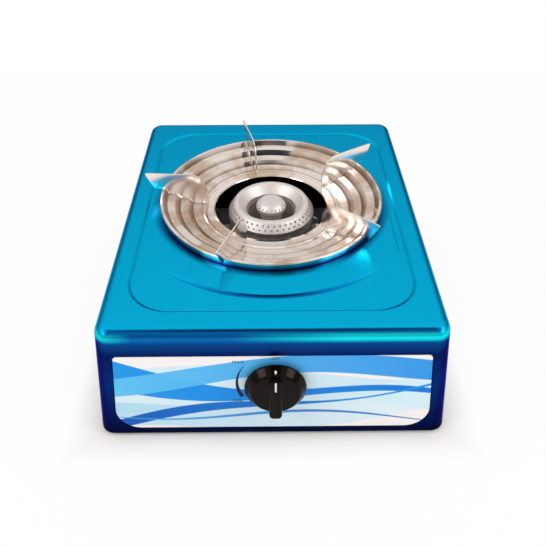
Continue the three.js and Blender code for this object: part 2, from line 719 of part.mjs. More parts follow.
function makeBurnerBody() {
  const up = burnerOffset;
  const cup = turned([
    [funnelRadius, cupFloorZ], [cupRadius - cupWall, cupFloorZ], [cupRadius, cupFloorZ + cupWall],
    [cupRadius, cupRimZ], [funnelRadius, cupRimZ],
  ]).translate(0, up, 0);
  let body = solid(cup).add(solid(rod(stemOuter, cupFloorZ, stemTopZ, midSides).translate(0, up, 0)));
  const bridgeSpan = 2 * (funnelRadius + cupWall / 2);
  const bridge = new THREE.BoxGeometry(bridgeSpan, bridgeWidth, bridgeHeight);
  body = body.add(solid(bridge.translate(0, up, cupFloorZ + bridgeHeight / 2)));
  const lugs = roundedRect(2 * lugReach, lugWidth, lugWidth / 2 - fit, 0, up);
  const lugBar = solid(raised(lugs, cupFloorZ, cupFloorZ + lugHeight));
  const insideLugs = solid(rod(cupRadius - cupWall, 0, topZ, midSides).translate(0, up, 0));
  body = body.add(lugBar.subtract(insideLugs));
  const reach = mouthY - riserY;
  const outer = turned([
    [0, 0], [tubeMouth + tubeWall, 0], [tubeMouth + tubeWall, -mouthPlate * 2],
    [tubeThroat + tubeWall, -mouthBell], [tubeBore + tubeWall, reach / 2],
    [tubeBore + tubeWall, reach - tubeWall], [tubeBore, reach - tubeBore], [0, reach - tubeBore - tubeWall],
  ], midSides);
  body = body.add(solid(onTube(outer)));
  const riser = rod(riserBore + tubeWall, tubeZ, cupFloorZ + cupWall / 2, midSides);
  body = body.add(solid(riser.translate(knobOffset, riserY, 0)));
  const hub = rod(hubRadius, -mouthPlate, shutterSheet + 2 * fit, midSides);
  body = body.add(solid(onTube(hub)));
  const lipLow = shutterSheet + 2 * fit;
  body = body.add(solid(onTube(rod(hubLip, lipLow, lipLow + hubLipLength, midSides))));
  const trough = turned([
    [funnelRadius + cupWall, cupFloorZ + cupWall], [cupRadius - cupWall, cupFloorZ + cupWall],
    [cupRadius - cupWall, cupRimZ + overrun], [funnelRadius + cupWall, cupRimZ + overrun],
  ]).translate(0, up, 0);
  body = body.subtract(solid(trough));
  const stemCut = rod(stemBore, cupFloorZ + cupWall, stemTopZ + overrun, midSides);
  body = body.subtract(solid(stemCut.translate(0, up, 0)));
  const passage = rod(bridgeBore, -bridgeSpan / 2 - cupWall, bridgeSpan / 2 + cupWall, 8).rotateY(quarter);
  body = body.subtract(solid(passage.translate(0, up, cupFloorZ + cupWall + bridgeBore)));
  const bore = turned([
    [0, -mouthPlate], [tubeMouth, -mouthPlate], [tubeThroat, -mouthBell], [tubeBore, reach / 2],
    [tubeBore, reach], [tubeBore / 2, reach - tubeBore / 2], [0, reach - tubeBore / 2],
  ], midSides);
  body = body.subtract(solid(onTube(bore)));
  const rise = rod(riserBore, tubeZ, cupFloorZ + cupWall + overrun, midSides);
  body = body.subtract(solid(rise.translate(knobOffset, riserY, 0)));
  body = body.subtract(solid(onTube(rod(hubBore, -mouthPlate - overrun, lipLow + hubLipLength + overrun))));
  const slots = geometryOf(airSlots(-mouthPlate - overrun, overrun));
  body = body.subtract(solid(onTube(slots)));
  for (const side of [-1, 1]) {
    const hole = rod(lugScrewShank + fit, cupFloorZ - overrun, cupFloorZ + lugHeight + overrun);
    body = body.subtract(solid(hole.translate(side * lugScrewX, up, 0)));
  }
  return geometryOf(body);
}
addPiece('burner_body', makeBurnerBody(), 'iron');

// Air shutter: a slotted disc that turns on the mouth's hub, with a finger tab at the bottom
const tabWidth = 7;
const tabReach = 25;
function makeShutter() {
  let disc = solid(rod(tubeMouth + tubeWall, fit, fit + shutterSheet, midSides));
  const tab = roundedRect(tabWidth, tabReach, tabWidth / 3, 0, -tabReach / 2 - tubeThroat);
  disc = disc.add(solid(raised(tab, fit, fit + shutterSheet)));
  disc = disc.subtract(solid(rod(hubRadius + fit, -overrun, overrun + shutterSheet, midSides)));
  disc = disc.subtract(airSlots(-overrun, overrun + shutterSheet));
  return onTube(geometryOf(disc));
}
addPiece('air_shutter', makeShutter(), 'zinc');

// Outer burner cap: a ring with two staggered rows of flame ports and a funnel in the middle
const capSeatZ = cupRimZ + fit;
const capRadius = 41;
const capHeight = 11;
const capLip = 2;
const capShoulder = 35.5;
const capCrestOut = 34;
const capCrestIn = 31;
const capWall = 2.2;
const portRadius = 1.05;
const portSides = 4;
const portsPerRow = 36;
const portRowShares = [0.31, 0.7];
const spigotWall = 1.8;
const spigotDepth = 2.5;
// Ports in a row about Z, square to a wall that leans in by the tilt
function ringOfPorts({ count, radius, z, tilt, portSize, startShare, length }) {
  const ports = [];
  for (let k = 0; k < count; k += 1) {
    const port = new THREE.CylinderGeometry(portSize, portSize, length, portSides);
    port.rotateZ(-quarter + tilt).translate(radius, 0, z);
    ports.push(port.rotateZ(2 * half * (k + startShare) / count));
  }
  return mergeGeometries(ports.map((port) => closed(port)));
}
function makeOuterCap() {
  const z = (height) => capSeatZ + height;
  const spigot = cupRadius - cupWall - fit;
  const ring = turned([
    [capRadius, z(0)], [capRadius, z(capLip)], [capShoulder, z(capHeight - capLip / 3)],
    [capCrestOut, z(capHeight)], [capCrestIn, z(capHeight)], [funnelRadius + capLip / 2, z(capLip * 1.5)],
    [funnelRadius, z(0)], [funnelRadius + cupWall - fit, z(0)], [funnelRadius + capLip / 2 + capWall, z(capLip)],
    [capCrestIn + capWall / 2, z(capHeight - capWall)], [capCrestOut - capWall / 3, z(capHeight - capWall)],
    [spigot, z(capWall)], [spigot - spigotWall, z(capWall)], [spigot - spigotWall, z(-spigotDepth)],
    [spigot, z(-spigotDepth)], [spigot, z(0)],
  ]);
  let cap = solid(ring);
  const run = capRadius - capShoulder;
  const rise = capHeight - capLip / 3 - capLip;
  const tilt = Math.atan2(run, rise);
  portRowShares.forEach((share, row) => {
    const ports = ringOfPorts({
      count: portsPerRow,
      radius: capRadius - run * share,
      z: z(capLip + rise * share),
      tilt,
      portSize: portRadius,
      startShare: row / 2,
      length: 3 * capWall,
    });
    cap = cap.subtract(solid(ports));
  });
  return geometryOf(cap);
}
const outerCap = addPiece('burner_outer_cap', makeOuterCap(), 'aluminium');
outerCap.position.y = burnerOffset;

// Inner burner cap: a small drilled button whose neck drops into the middle stem
const innerCapRadius = 14.2;
const innerCapFace = 9.4;
const innerCapWall = 2;
const innerPortRadius = 0.8;
const innerPorts = 12;
const neckLength = 6;
const neckWall = 1.8;
const innerBevelHeight = 4;
function makeInnerCap() {
  const top = innerCapTop;
  const neck = stemBore - fit;
  const bevelTop = top - innerCapWall / 2;
  const bevelFoot = bevelTop - innerBevelHeight;
  const foot = top - innerCapHeight;
  const chamber = innerCapRadius - innerCapWall;
  const shoulder = innerCapFace + innerCapWall;
  let cap = solid(turned([
    [0, top], [innerCapFace, top], [shoulder, bevelTop], [innerCapRadius, bevelFoot],
    [innerCapRadius, foot + innerCapWall], [chamber, foot], [neck, foot], [neck, foot - neckLength],
    [neck - neckWall, foot - neckLength], [neck - neckWall, foot + innerCapWall / 2],
    [chamber, foot + innerCapWall], [chamber, bevelFoot], [innerCapFace, top - innerCapWall],
    [0, top - innerCapWall],
  ], midSides));
  const tilt = Math.atan2(innerCapRadius - shoulder, innerBevelHeight);
  const ports = ringOfPorts({
    count: innerPorts,
    radius: (innerCapRadius + shoulder) / 2,
    z: (bevelTop + bevelFoot) / 2,
    tilt,
    portSize: innerPortRadius,
    startShare: 0,
    length: 3 * innerCapWall,
  });
  cap = cap.subtract(solid(ports));
  return geometryOf(cap);
}
const innerCap = addPiece('burner_inner_cap', makeInnerCap(), 'aluminium');
innerCap.position.y = burnerOffset;

// Burner screws: the right one also clamps the electrode's bracket
const bracketSheet = 1.2;
const burnerScrewHead = 4;
const burnerScrewHeight = 2.6;
const burnerScrewLength = lugHeight + railSheet + 4 * fit + railSheet;
for (const [sideName, side, under] of [['left', -1, fit], ['right', 1, bracketSheet + 2 * fit]]) {
  const screw = makeScrew(lugScrewShank, burnerScrewHead, burnerScrewHeight, burnerScrewLength + under);
  const piece = addPiece(`burner_screw_${sideName}`, screw, 'zinc');
  piece.position.set(side * lugScrewX, burnerOffset, cupFloorZ + lugHeight + under);
}

// Electrode: a ceramic stick in a bracket, with a wire that ends just off the burner's edge
const electrodeRadius = 47.5;
const electrodeAzimuth = -half / 9;
const ceramicRadius = 2.8;
const ceramicShoulder = 4;
const ceramicShoulderHeight = 3;
const ceramicUp = 12;
const ceramicDown = 12;
const pinRadius = 0.8;
const pinUp = 7;
const pinDown = 4;
const pinReach = 5;
const bracketZ = cupFloorZ + lugHeight + fit;
const electrodeX = electrodeRadius * Math.cos(electrodeAzimuth);
const electrodeY = burnerOffset + electrodeRadius * Math.sin(electrodeAzimuth);

function makeBracket() {
  const reach = Math.hypot(lugScrewX - electrodeX, burnerOffset - electrodeY);
  const turn = Math.atan2(electrodeY - burnerOffset, electrodeX - lugScrewX);
  const width = 2 * ceramicShoulder + bracketSheet;
  const tab = roundedRect(reach + width, width, width / 2 - fit, reach / 2, 0);
  let bracket = solid(raised(tab, bracketZ, bracketZ + bracketSheet));
  const [under, over] = [bracketZ - overrun, bracketZ + bracketSheet + overrun];
  bracket = bracket.subtract(solid(rod(ceramicRadius + fit, under, over).translate(reach, 0, 0)));
  bracket = bracket.subtract(solid(rod(lugScrewShank + fit, under, over)));
  return geometryOf(bracket).rotateZ(turn).translate(lugScrewX, burnerOffset, 0);
}
addPiece('electrode_bracket', makeBracket(), 'zinc');

const shoulderZ = bracketZ + bracketSheet + fit;
const ceramicTop = shoulderZ + ceramicShoulderHeight + ceramicUp;
const ceramicFoot = bracketZ - ceramicDown;
const ceramic = turned([
  [pinRadius + fit, ceramicFoot], [ceramicRadius, ceramicFoot], [ceramicRadius, shoulderZ],
  [ceramicShoulder, shoulderZ], [ceramicShoulder, shoulderZ + ceramicShoulderHeight],
  [ceramicRadius, shoulderZ + ceramicShoulderHeight],
  [ceramicRadius - pinRadius, ceramicTop], [pinRadius + fit, ceramicTop],
], smallSides);
addPiece('electrode_ceramic', ceramic, 'ceramic').position.set(electrodeX, electrodeY, 0);

// A round wire along a path of straight stretches and eased bends
function wire(points, radius, sides, steps) {
  const section = new THREE.Shape(Array.from({ length: sides }, (_, k) => {
    const angle = 2 * half * k / sides;
    return new THREE.Vector2(radius * Math.cos(angle), radius * Math.sin(angle));
  }));
  const path = new THREE.CatmullRomCurve3(points, false, 'centripetal');
  return closed(new THREE.ExtrudeGeometry(section, { steps, extrudePath: path, bevelEnabled: false }));
}
function makePin() {
  const low = ceramicFoot - pinDown;
  const bend = ceramicTop + pinUp;
  const inward = new THREE.Vector2(-electrodeX, burnerOffset - electrodeY).normalize();
  const at = (reach, z) => new THREE.Vector3(inward.x * reach, inward.y * reach, z);
  return wire([
    at(0, low), at(0, (low + ceramicTop) / 2), at(0, ceramicTop), at(0, bend - pinReach / 2),
    at(pinReach / 4, bend), at(pinReach, bend + pinRadius),
  ], pinRadius, 6, 12);
}
addPiece('electrode_pin', makePin(), 'steel').position.set(electrodeX, electrodeY, 0);

// Igniter: the boxed piezo unit beside the valve, with a stub for its lead
const igniterWidth = 13;
const igniterHeight = 16;
const igniterLength = 32;
const igniterCorner = 2;
const igniterStub = 2.6;
const igniterStubLength = 5;
const leadRadius = 1.2;
const igniterX = -(valveRadius + fit + igniterWidth / 2);
const igniterFront = valveFront + valveEarDepth + fit;
const stubEnd = igniterFront + igniterLength + igniterStubLength;
function makeIgniter() {
  const boxBack = -igniterFront - igniterLength;
  const box = raised(roundedRect(igniterWidth, igniterHeight, igniterCorner), boxBack, -igniterFront);
  let unit = solid(box).add(solid(rod(igniterStub, -stubEnd, boxBack + overrun)));
  const socket = rod(leadRadius + fit, -stubEnd - overrun, -stubEnd + igniterStubLength, 8);
  unit = unit.subtract(solid(socket));
  return geometryOf(unit);
}
addPiece('piezo_igniter', makeIgniter(), 'blackPlastic', front).position.x = igniterX;

// Ignition lead: from the igniter's stub, under the mixing tube and up to the electrode's wire
const leadDip = 15;             // how far the lead hangs below the tube
function makeLead() {
  const start = new THREE.Vector3(igniterX, 0, -stubEnd + igniterStubLength / 2).applyMatrix4(front.matrix);
  const out = new THREE.Vector3(igniterX, 0, -stubEnd - igniterStubLength).applyMatrix4(front.matrix);
  const end = new THREE.Vector3(electrodeX, electrodeY, ceramicFoot - pinDown - fit);
  const low = tubeZ - tubeBore - tubeWall - leadDip / 2;
  const span = end.y - out.y;
  const along = (share, x, z) => new THREE.Vector3(x, out.y + span * share, z);
  return wire([
    start, out, along(0.16, igniterX, (out.z + low) / 2), along(0.34, igniterX / 2, low),
    along(0.52, electrodeX / 4, low - leadDip / 4), along(0.72, electrodeX * 0.7, low),
    along(0.93, electrodeX, (low + end.z) / 2), new THREE.Vector3(end.x, end.y, end.z - leadDip / 3), end,
  ], leadRadius, 6, 28);
}
addPiece('ignition_lead', makeLead(), 'silicone');

// Inlet fitting at the back: a flanged shank through the wall, held by a nut, with a hose nipple
const inletFlange = 20;
const inletFlangeLength = 6;
const nippleRadius = 4.6;
const nippleBarb = 5.6;
const nippleLength = 18;
const nippleBore = 2.8;
const barbCount = 3;
const shankLength = 16;
const lockNutLength = 5;
function makeInlet() {
  const flangeEnd = fit + inletFlangeLength;
  const barbPitch = nippleLength / (barbCount + 1);
  const outline = [
    [0, flangeEnd - overrun], [nippleRadius, flangeEnd - overrun], [nippleRadius, flangeEnd + barbPitch],
  ];
  for (let k = 1; k <= barbCount; k += 1) {
    const low = flangeEnd + k * barbPitch;
    outline.push([nippleBarb, low], [nippleRadius - fit, low + barbPitch * 0.9]);
  }
  const nippleEnd = flangeEnd + nippleLength;
  outline.push([nippleRadius - fit, nippleEnd], [0, nippleEnd]);
  let fitting = solid(turned(outline, midSides)).add(solid(raised(hexagon(inletFlange), fit, flangeEnd)));
  fitting = fitting.add(solid(rod(inletShank, -shankLength, fit + overrun)));
  fitting = fitting.subtract(solid(rod(nippleBore, -shankLength, nippleEnd + overrun)));
  const pipeSeat = rod(pipeRadius + fit, -shankLength - overrun, -shankLength + pipeInsert + fit);
  fitting = fitting.subtract(solid(pipeSeat));
  return geometryOf(fitting);
}
addPiece('inlet_fitting', makeInlet(), 'brass', back);

function makeNut(acrossFlats, length, bore) {
  const block = solid(raised(hexagon(acrossFlats), 0, length));
  return geometryOf(block.subtract(solid(rod(bore, -overrun, length + overrun))));
}
const lockNutForm = makeNut(inletFlange, lockNutLength, inletShank + fit);
const lockNut = addPiece('inlet_lock_nut', lockNutForm, 'brass', back);
lockNut.position.z = -sheet - fit - lockNutLength;

// Gas pipe: a bent steel tube from the inlet fitting to the valve's side boss, with its nut
const pipeNutFlats = 15;
const pipeNutLength = 9;
const pipeBend = 24;
const pipeOverRail = 4.8;       // the pipe clears the rail's slanted arm by this
function makePipe() {
  const bossX = inletBossReach - pipeInsert + fit;
  const start = new THREE.Vector3(bossX, 0, -portDepth).applyMatrix4(front.matrix);
  const finish = new THREE.Vector3(0, 0, -shankLength + pipeInsert).applyMatrix4(back.matrix);
  const straight = new THREE.Vector3(0, 0, -shankLength - pipeBend).applyMatrix4(back.matrix);
  const cornerShare = 1 - Math.SQRT1_2;
  const bent = (inward, along) => new THREE.Vector3(finish.x - inward, start.y + along, start.z);
  const crossing = railHeightAt(finish.x - pipeRadius) + pipeRadius + pipeOverRail;
  const over = (y) => new THREE.Vector3(finish.x, burnerOffset + y, crossing);
  const points = [
    start, bent(2 * pipeBend, 0), bent(pipeBend, 0), bent(cornerShare * pipeBend, cornerShare * pipeBend),
    bent(0, pipeBend), bent(0, 2 * pipeBend), over(-railWidth), over(railWidth),
    new THREE.Vector3(finish.x, straight.y - pipeBend, straight.z), straight, finish,
  ];
  return wire(points, pipeRadius, 10, 22);
}
addPiece('gas_pipe', makePipe(), 'steel');
const pipeNut = addPiece('pipe_nut', makeNut(pipeNutFlats, pipeNutLength, pipeRadius + fit), 'brass', front);
pipeNut.rotation.y = quarter;
pipeNut.position.set(inletBossReach + fit, 0, -portDepth);

// Drip pan: a polished spun tray with three steps, resting by its rolled rim on the housing
const panRadius = 105;
const panCrest = 6.6;
const panSheet = 0.8;
const panRoll = 1.5;            // the rim's edge rolls over by this
const panHole = 53.5;
const panStepWall = 5;
const panStepDrop = 5;
const panLedge = 7;
const panLedgeFall = 0.3;
const panFloorFall = 1.2;
const panBeadRadius = 64;
const panBeadHeight = 1;
const panBeadHalf = 1.8;
const panHoleLip = 0.8;
const bladeSheet = 1.2;
const bladeCount = 5;
const bladeAzimuth = 32 * half / 180;
const bladeInner = 60;
const tabOut = 73;
const tabIn = 67.5;
const tabDepth = 4;

// Upper surface of the pan from the rim inward, as [radius, height above the seat]
function panSurface() {
  const outline = [];
  let [r, z] = [panRadius - panRoll, panCrest];
  outline.push([r, z]);
  for (const dropShare of [1, 1, 0.8]) {
    r -= panStepWall;
    z -= panStepDrop * dropShare;
    outline.push([r, z]);
    r -= panLedge;
    z -= panLedgeFall;
    outline.push([r, z]);
  }
  const floorStart = outline.pop();
  const [floorR, floorZ] = floorStart;
  const floorAt = (radius) => floorZ - panFloorFall * (floorR - radius) / (floorR - panHole);
  outline.push([panBeadRadius + panBeadHalf, floorAt(panBeadRadius + panBeadHalf)]);
  outline.push([panBeadRadius, floorAt(panBeadRadius) + panBeadHeight]);
  outline.push([panBeadRadius - panBeadHalf, floorAt(panBeadRadius - panBeadHalf)]);
  outline.push([panHole + 2 * panSheet, floorAt(panHole)], [panHole, floorAt(panHole) + panHoleLip]);
  return outline;
}
const panOutline = panSurface();
function panHeightAt(radius) {
  for (let k = 0; k + 1 < panOutline.length; k += 1) {
    const [[r0, z0], [r1, z1]] = [panOutline[k], panOutline[k + 1]];
    if (radius <= r0 && radius >= r1) return z0 + (z1 - z0) * (r0 - radius) / (r0 - r1);
  }
  return panCrest;
}
const panSeat = seatZ + fit;

// A blade's place: its plane stands upright on a ray from the burner's axis
function bladePlace(geometry, k) {
  return geometry.rotateX(quarter).rotateZ(bladeAzimuth + 2 * half * k / bladeCount);
}
function makePan() {
  const bead = panOutline.length - 4;
  const plain = panOutline.filter((_, k) => k < bead - 1 || k > bead + 1);
  const lower = plain.map(([r, z]) => [r, z - panSheet]).reverse();
  const skirt = [
    [panRadius, 0], [panRadius, panCrest - panRoll], [panRadius - 0.4 * panRoll, panCrest - 0.25 * panRoll],
  ];
  const inner = panRadius - panSheet;
  const skirtInside = [
    [inner - 0.4 * panRoll, panCrest - panSheet - 0.25 * panRoll], [inner, panCrest - panSheet - panRoll],
    [inner, 0],
  ];
  const inside = lower.slice(0, -1);
  let pan = solid(turned([...skirt, ...panOutline, ...inside, ...skirtInside], panSides));
  for (let k = 0; k < bladeCount; k += 1) {
    const width = tabOut - tabIn + 2 * fit;
    const slot = new THREE.BoxGeometry(width, panCrest + tabDepth, bladeSheet + 2 * fit);
    pan = pan.subtract(solid(bladePlace(slot.translate((tabOut + tabIn) / 2, panHeightAt(tabOut), 0), k)));
  }
  return geometryOf(pan);
}
const pan = addPiece('drip_pan', makePan(), 'steel');
pan.position.set(0, burnerOffset, panSeat);

// Pot blades: thin upright plates, notched over the pan's rim and tabbed through its floor
const bladeTop = 24;            // above the housing's top
const bladeTip = 119;
const bladeLevelIn = 77;
const bladeToeHeight = 12;
const bladeNotch = 2.5;
const bladeNose = 2.4;
const bladeHeel = 8;
function makeBlade(k) {
  const level = topZ + bladeTop - panSeat;
  const onPan = (radius) => panHeightAt(radius) + fit;
  const floor = onPan(tabOut);
  const shape = new THREE.Shape();
  shape.moveTo(bladeInner, onPan(bladeInner));
  shape.lineTo(panBeadRadius - panBeadHalf - fit, onPan(bladeInner));
  shape.lineTo(panBeadRadius - panBeadHalf - fit, onPan(panBeadRadius));
  shape.lineTo(panBeadRadius + panBeadHalf + fit, onPan(panBeadRadius));
  shape.lineTo(panBeadRadius + panBeadHalf + fit, floor);
  shape.lineTo(tabIn, floor);
  shape.lineTo(tabIn, floor - tabDepth);
  shape.lineTo(tabOut, floor - tabDepth);
  shape.lineTo(tabOut, floor);
  for (let j = 4; j > 0; j -= 1) {
    const [r, z] = panOutline[j];
    shape.lineTo(r - fit, z + 2 * fit);
  }
  shape.lineTo(panOutline[0][0] - panStepWall / 2, panCrest + fit);
  shape.lineTo(panRadius + bladeNotch, panCrest + fit);
  shape.lineTo(panRadius + bladeNotch + fit, panCrest - bladeNotch / 2);
  shape.lineTo(panRadius + 2 * bladeNotch, panCrest - bladeNotch / 2);
  shape.quadraticCurveTo(bladeTip - bladeNose, level - bladeHeel, bladeTip, level - bladeNose / 2);
  shape.quadraticCurveTo(bladeTip, level, bladeTip - bladeNose, level);
  shape.lineTo(bladeLevelIn, level);
  shape.quadraticCurveTo(bladeInner + bladeNotch, level, bladeInner, floor + bladeToeHeight);
  return bladePlace(raised(shape, -bladeSheet / 2, bladeSheet / 2), k);
}
for (let k = 0; k < bladeCount; k += 1) {
  const blade = addPiece(`pot_blade_${k + 1}`, closed(makeBlade(k)), 'steel');
  blade.position.copy(pan.position);
}

// The origin stands under the middle of the stove's footprint, knob and hose nipple included
stove.updateMatrixWorld(true);
const footprint = new THREE.Box3().setFromObject(stove, true);
stove.position.y = -(footprint.min.y + footprint.max.y) / 2;

export default stove;
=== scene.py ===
import bmesh
import bpy
from math import atan2, cos, hypot, pi, radians, sin, sqrt, tau
from mathutils import Matrix, Vector


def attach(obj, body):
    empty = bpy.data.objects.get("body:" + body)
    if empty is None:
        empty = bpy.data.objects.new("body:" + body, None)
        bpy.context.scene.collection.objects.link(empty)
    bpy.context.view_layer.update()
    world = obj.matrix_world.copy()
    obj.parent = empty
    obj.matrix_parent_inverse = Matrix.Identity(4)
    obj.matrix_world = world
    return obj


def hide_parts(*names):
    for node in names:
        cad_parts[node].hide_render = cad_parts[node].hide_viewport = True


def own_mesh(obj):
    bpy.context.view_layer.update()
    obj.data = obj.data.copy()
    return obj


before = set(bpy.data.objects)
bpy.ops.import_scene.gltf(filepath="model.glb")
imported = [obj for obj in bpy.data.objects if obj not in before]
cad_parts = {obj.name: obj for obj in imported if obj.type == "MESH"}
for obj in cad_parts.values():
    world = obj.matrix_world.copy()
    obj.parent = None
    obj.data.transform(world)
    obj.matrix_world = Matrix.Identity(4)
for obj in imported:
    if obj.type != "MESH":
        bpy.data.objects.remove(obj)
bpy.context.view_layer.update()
mm = 0.001


# The photographer's table. A pale seamless sheet lies under the stove and runs out of sight behind it. Two
# soft lamps at the sides show in the bright pieces, two more only fill in, and the room around is pale.
def linear(hex_colour):
    """The sRGB hex colour as linear red, green, blue and alpha"""
    channels = [int(hex_colour[i:i + 2], 16) / 255 for i in (1, 3, 5)]
    return tuple(c / 12.92 if c <= 0.04045 else ((c + 0.055) / 1.055) ** 2.4 for c in channels) + (1.0,)


def add(tree, kind, inputs=None, stops=(), **settings):
    """Adds a node with its settings and colour stops, and sets or links its inputs. A node given for an
    input stands for its first output"""
    made = tree.nodes.new("ShaderNode" + kind)
    for name, value in settings.items():
        setattr(made, name, value)
    if stops:
        elements = made.color_ramp.elements
        while len(elements) < len(stops):
            elements.new(0.5)
        for element, (at, colour) in zip(elements, stops):
            element.position = at
            element.color = colour
    for name, value in (inputs or {}).items():
        socket = made.inputs[name]
        if isinstance(value, bpy.types.Node):
            value = value.outputs[0]
        if isinstance(value, bpy.types.NodeSocket):
            tree.links.new(value, socket)
        else:
            socket.default_value = value
    return made


def only(*pieces):
    """Selects these pieces alone, in object mode, the first of them active"""
    if bpy.context.mode != "OBJECT":
        bpy.ops.object.mode_set(mode="OBJECT")
    bpy.ops.object.select_all(action="DESELECT")
    for piece in pieces:
        piece.select_set(True)
    bpy.context.view_layer.objects.active = pieces[0] if pieces else None


# the camera looks down on the front from half a metre, as the photograph's straight edges give it
look_down, look_aside = radians(39.0682), radians(-0.58025)
camera = bpy.data.objects.new("camera", bpy.data.cameras.new("camera"))
bpy.context.scene.collection.objects.link(camera)
bpy.context.scene.camera = camera
camera.location = Vector((-3.176, -488.847, 453.281)) * mm
camera.rotation_euler = (pi / 2 - look_down, 0, look_aside)
camera.data.sensor_width = 36
camera.data.lens = 41.22
camera.data.shift_y = -0.0421
camera.data.clip_start = 10 * mm

only()
bpy.ops.mesh.primitive_plane_add(size=9, location=(0, 0.6, 0))
table = bpy.context.object
table.name = "table"
# matt paper: it shows an even white, but not where the stove stands on it and shades it
paper = bpy.data.materials.new("white paper sweep, matt")
paper.use_nodes = True
tree = paper.node_tree
tree.nodes.clear()
matt = add(tree, "BsdfDiffuse", {"Color": linear("#EFF0F1")})
glow = add(tree, "Emission", {"Color": linear("#FFFFFF"), "Strength": 1.0})
path = add(tree, "LightPath")
half_width, half_depth = 145 * mm, 175 * mm     # of the stove's foot
place = add(tree, "NewGeometry").outputs["Position"]
away = add(tree, "VectorMath", {0: place}, operation="ABSOLUTE")
away = add(tree, "VectorMath", {0: away, 1: (half_width, half_depth, 0)}, operation="SUBTRACT")
away = add(tree, "SeparateXYZ", {0: away})
away = add(tree, "Math", {0: away.outputs["X"], 1: away.outputs["Y"]}, operation="MAXIMUM")
near_share = add(tree, "MapRange", {"Value": away, "From Max": 30 * mm, "To Max": 0.92})
far_share = add(tree, "MapRange", {"Value": away, "From Min": 50 * mm, "From Max": 400 * mm})
open_share = add(tree, "Math", {0: near_share, 1: far_share}, operation="MAXIMUM")
seen = add(tree, "Math", {0: path.outputs["Is Camera Ray"], 1: open_share}, operation="MULTIPLY")
mixed = add(tree, "MixShader", {0: seen, 1: matt, 2: glow})
add(tree, "OutputMaterial", {"Surface": mixed})
table.data.materials.append(paper)

# the room: pale walls, a white ceiling and a warm band of furniture along the horizon at the back
world = bpy.data.worlds.new("pale room")
world.use_nodes = True
bpy.context.scene.world = world
tree = world.node_tree
tree.nodes.clear()
path = add(tree, "LightPath")
direction = add(tree, "SeparateXYZ", {0: add(tree, "TexCoord").outputs["Generated"]})
low = add(tree, "MapRange", {"Value": direction.outputs["Z"], "From Min": 0.3, "From Max": 0.16})
behind = add(tree, "MapRange", {"Value": direction.outputs["Y"], "From Min": 0.1, "From Max": 0.4})
furniture = add(tree, "Math", {0: low, 1: behind}, operation="MULTIPLY")
level = add(tree, "MapRange", {"Value": direction.outputs["Z"], "From Min": 0.35, "From Max": 0.75,
                               "To Min": 0.65})
hue = add(tree, "Mix", {0: furniture, 6: linear("#F8F3EF"), 7: linear("#8C7C6C")}, data_type="RGBA")
room = add(tree, "Background", {"Color": hue.outputs[2], "Strength": level})
white = add(tree, "Background", {"Color": linear("#FFFFFF"), "Strength": 1.0})
seen = add(tree, "Math", {0: path.outputs["Is Camera Ray"], 1: path.outputs["Is Transmission Ray"]},
           operation="MAXIMUM")
mixed = add(tree, "MixShader", {0: seen, 1: room, 2: white})
add(tree, "OutputWorld", {"Surface": mixed})

aimed_at = Vector((0, 0, 80)) * mm
for name, place, size, power, mirrored in (
    ("lamp_left", (-1.1, -0.7, 1.0), 0.6, 5, True),
    ("lamp_right", (1.2, -0.6, 0.9), 0.6, 5, True),
    ("lamp_front", (0.0, -1.6, 0.9), 1.2, 3, False),
    ("lamp_back", (0.1, 1.2, 1.3), 1.0, 3, False),
):
    lamp = bpy.data.objects.new(name, bpy.data.lights.new(name, "AREA"))
    bpy.context.scene.collection.objects.link(lamp)
    lamp.location = place
    lamp.rotation_euler = (aimed_at - Vector(place)).to_track_quat("-Z", "Y").to_euler()
    lamp.data.size = size
    lamp.data.energy = power
    lamp.data.color = linear("#FFFDFA")[:3]
    lamp.visible_glossy = mirrored

# a dark screen hangs high over the front, and polished pieces mirror it as narrow dark bands
screen_place, screen_tilt = (0.08, -1.21, 2.615), radians(-28)
only()
bpy.ops.mesh.primitive_plane_add(size=1, location=screen_place, rotation=(screen_tilt, 0, 0))
screen = bpy.context.object
screen.name = "dark_screen"
screen.dimensions = (1.6, 1.68, 0)
screen.visible_camera = screen.visible_diffuse = screen.visible_shadow = False
# matt wool felt: a dull blue grey without any gloss
felt = bpy.data.materials.new("grey wool felt, matt")
felt.use_nodes = True
felt.node_tree.nodes.clear()
nap = add(felt.node_tree, "BsdfDiffuse", {"Color": linear("#46505C"), "Roughness": 1.0})
add(felt.node_tree, "OutputMaterial", {"Surface": nap})
screen.data.materials.append(felt)

bpy.context.scene.view_settings.view_transform = "Standard"


# The housing: one drawn sheet of bright steel, 1 mm thick, under a clear blue lacquer. It has four leaning
# walls, a rolled top edge, a dish and a round step pressed into the top, and a pressed window in front.
# Its foot turns in as a flange that carries the feet and the burner's rail.
def rounded(points, radii, steps=6, closed=True):
    """The outline with its corners turned into arcs, of one radius for all or of one each"""
    points = [Vector(p) for p in points]
    radii = [radii] * len(points) if isinstance(radii, (int, float)) else radii
    nearly_straight = pi / 2 - 0.005
    out = []
    for i, corner in enumerate(points):
        before = (points[i - 1] - corner).normalized()
        after = (points[(i + 1) % len(points)] - corner).normalized()
        half = before.angle(after) / 2
        loose_end = not closed and i in (0, len(points) - 1)
        if radii[i] == 0 or loose_end or half > nearly_straight:
            out.append(corner.copy())
            continue
        middle = corner + (before + after).normalized() * (radii[i] / sin(half))
        start = corner + before * (radii[i] * cos(half) / sin(half)) - middle
        end = corner + after * (radii[i] * cos(half) / sin(half)) - middle
        sweep = start.angle(end)
        for step in range(steps + 1):
            share = step / steps
            out.append(middle + start * (sin((1 - share) * sweep) / sin(sweep))
                       + end * (sin(share * sweep) / sin(sweep)))
    return out


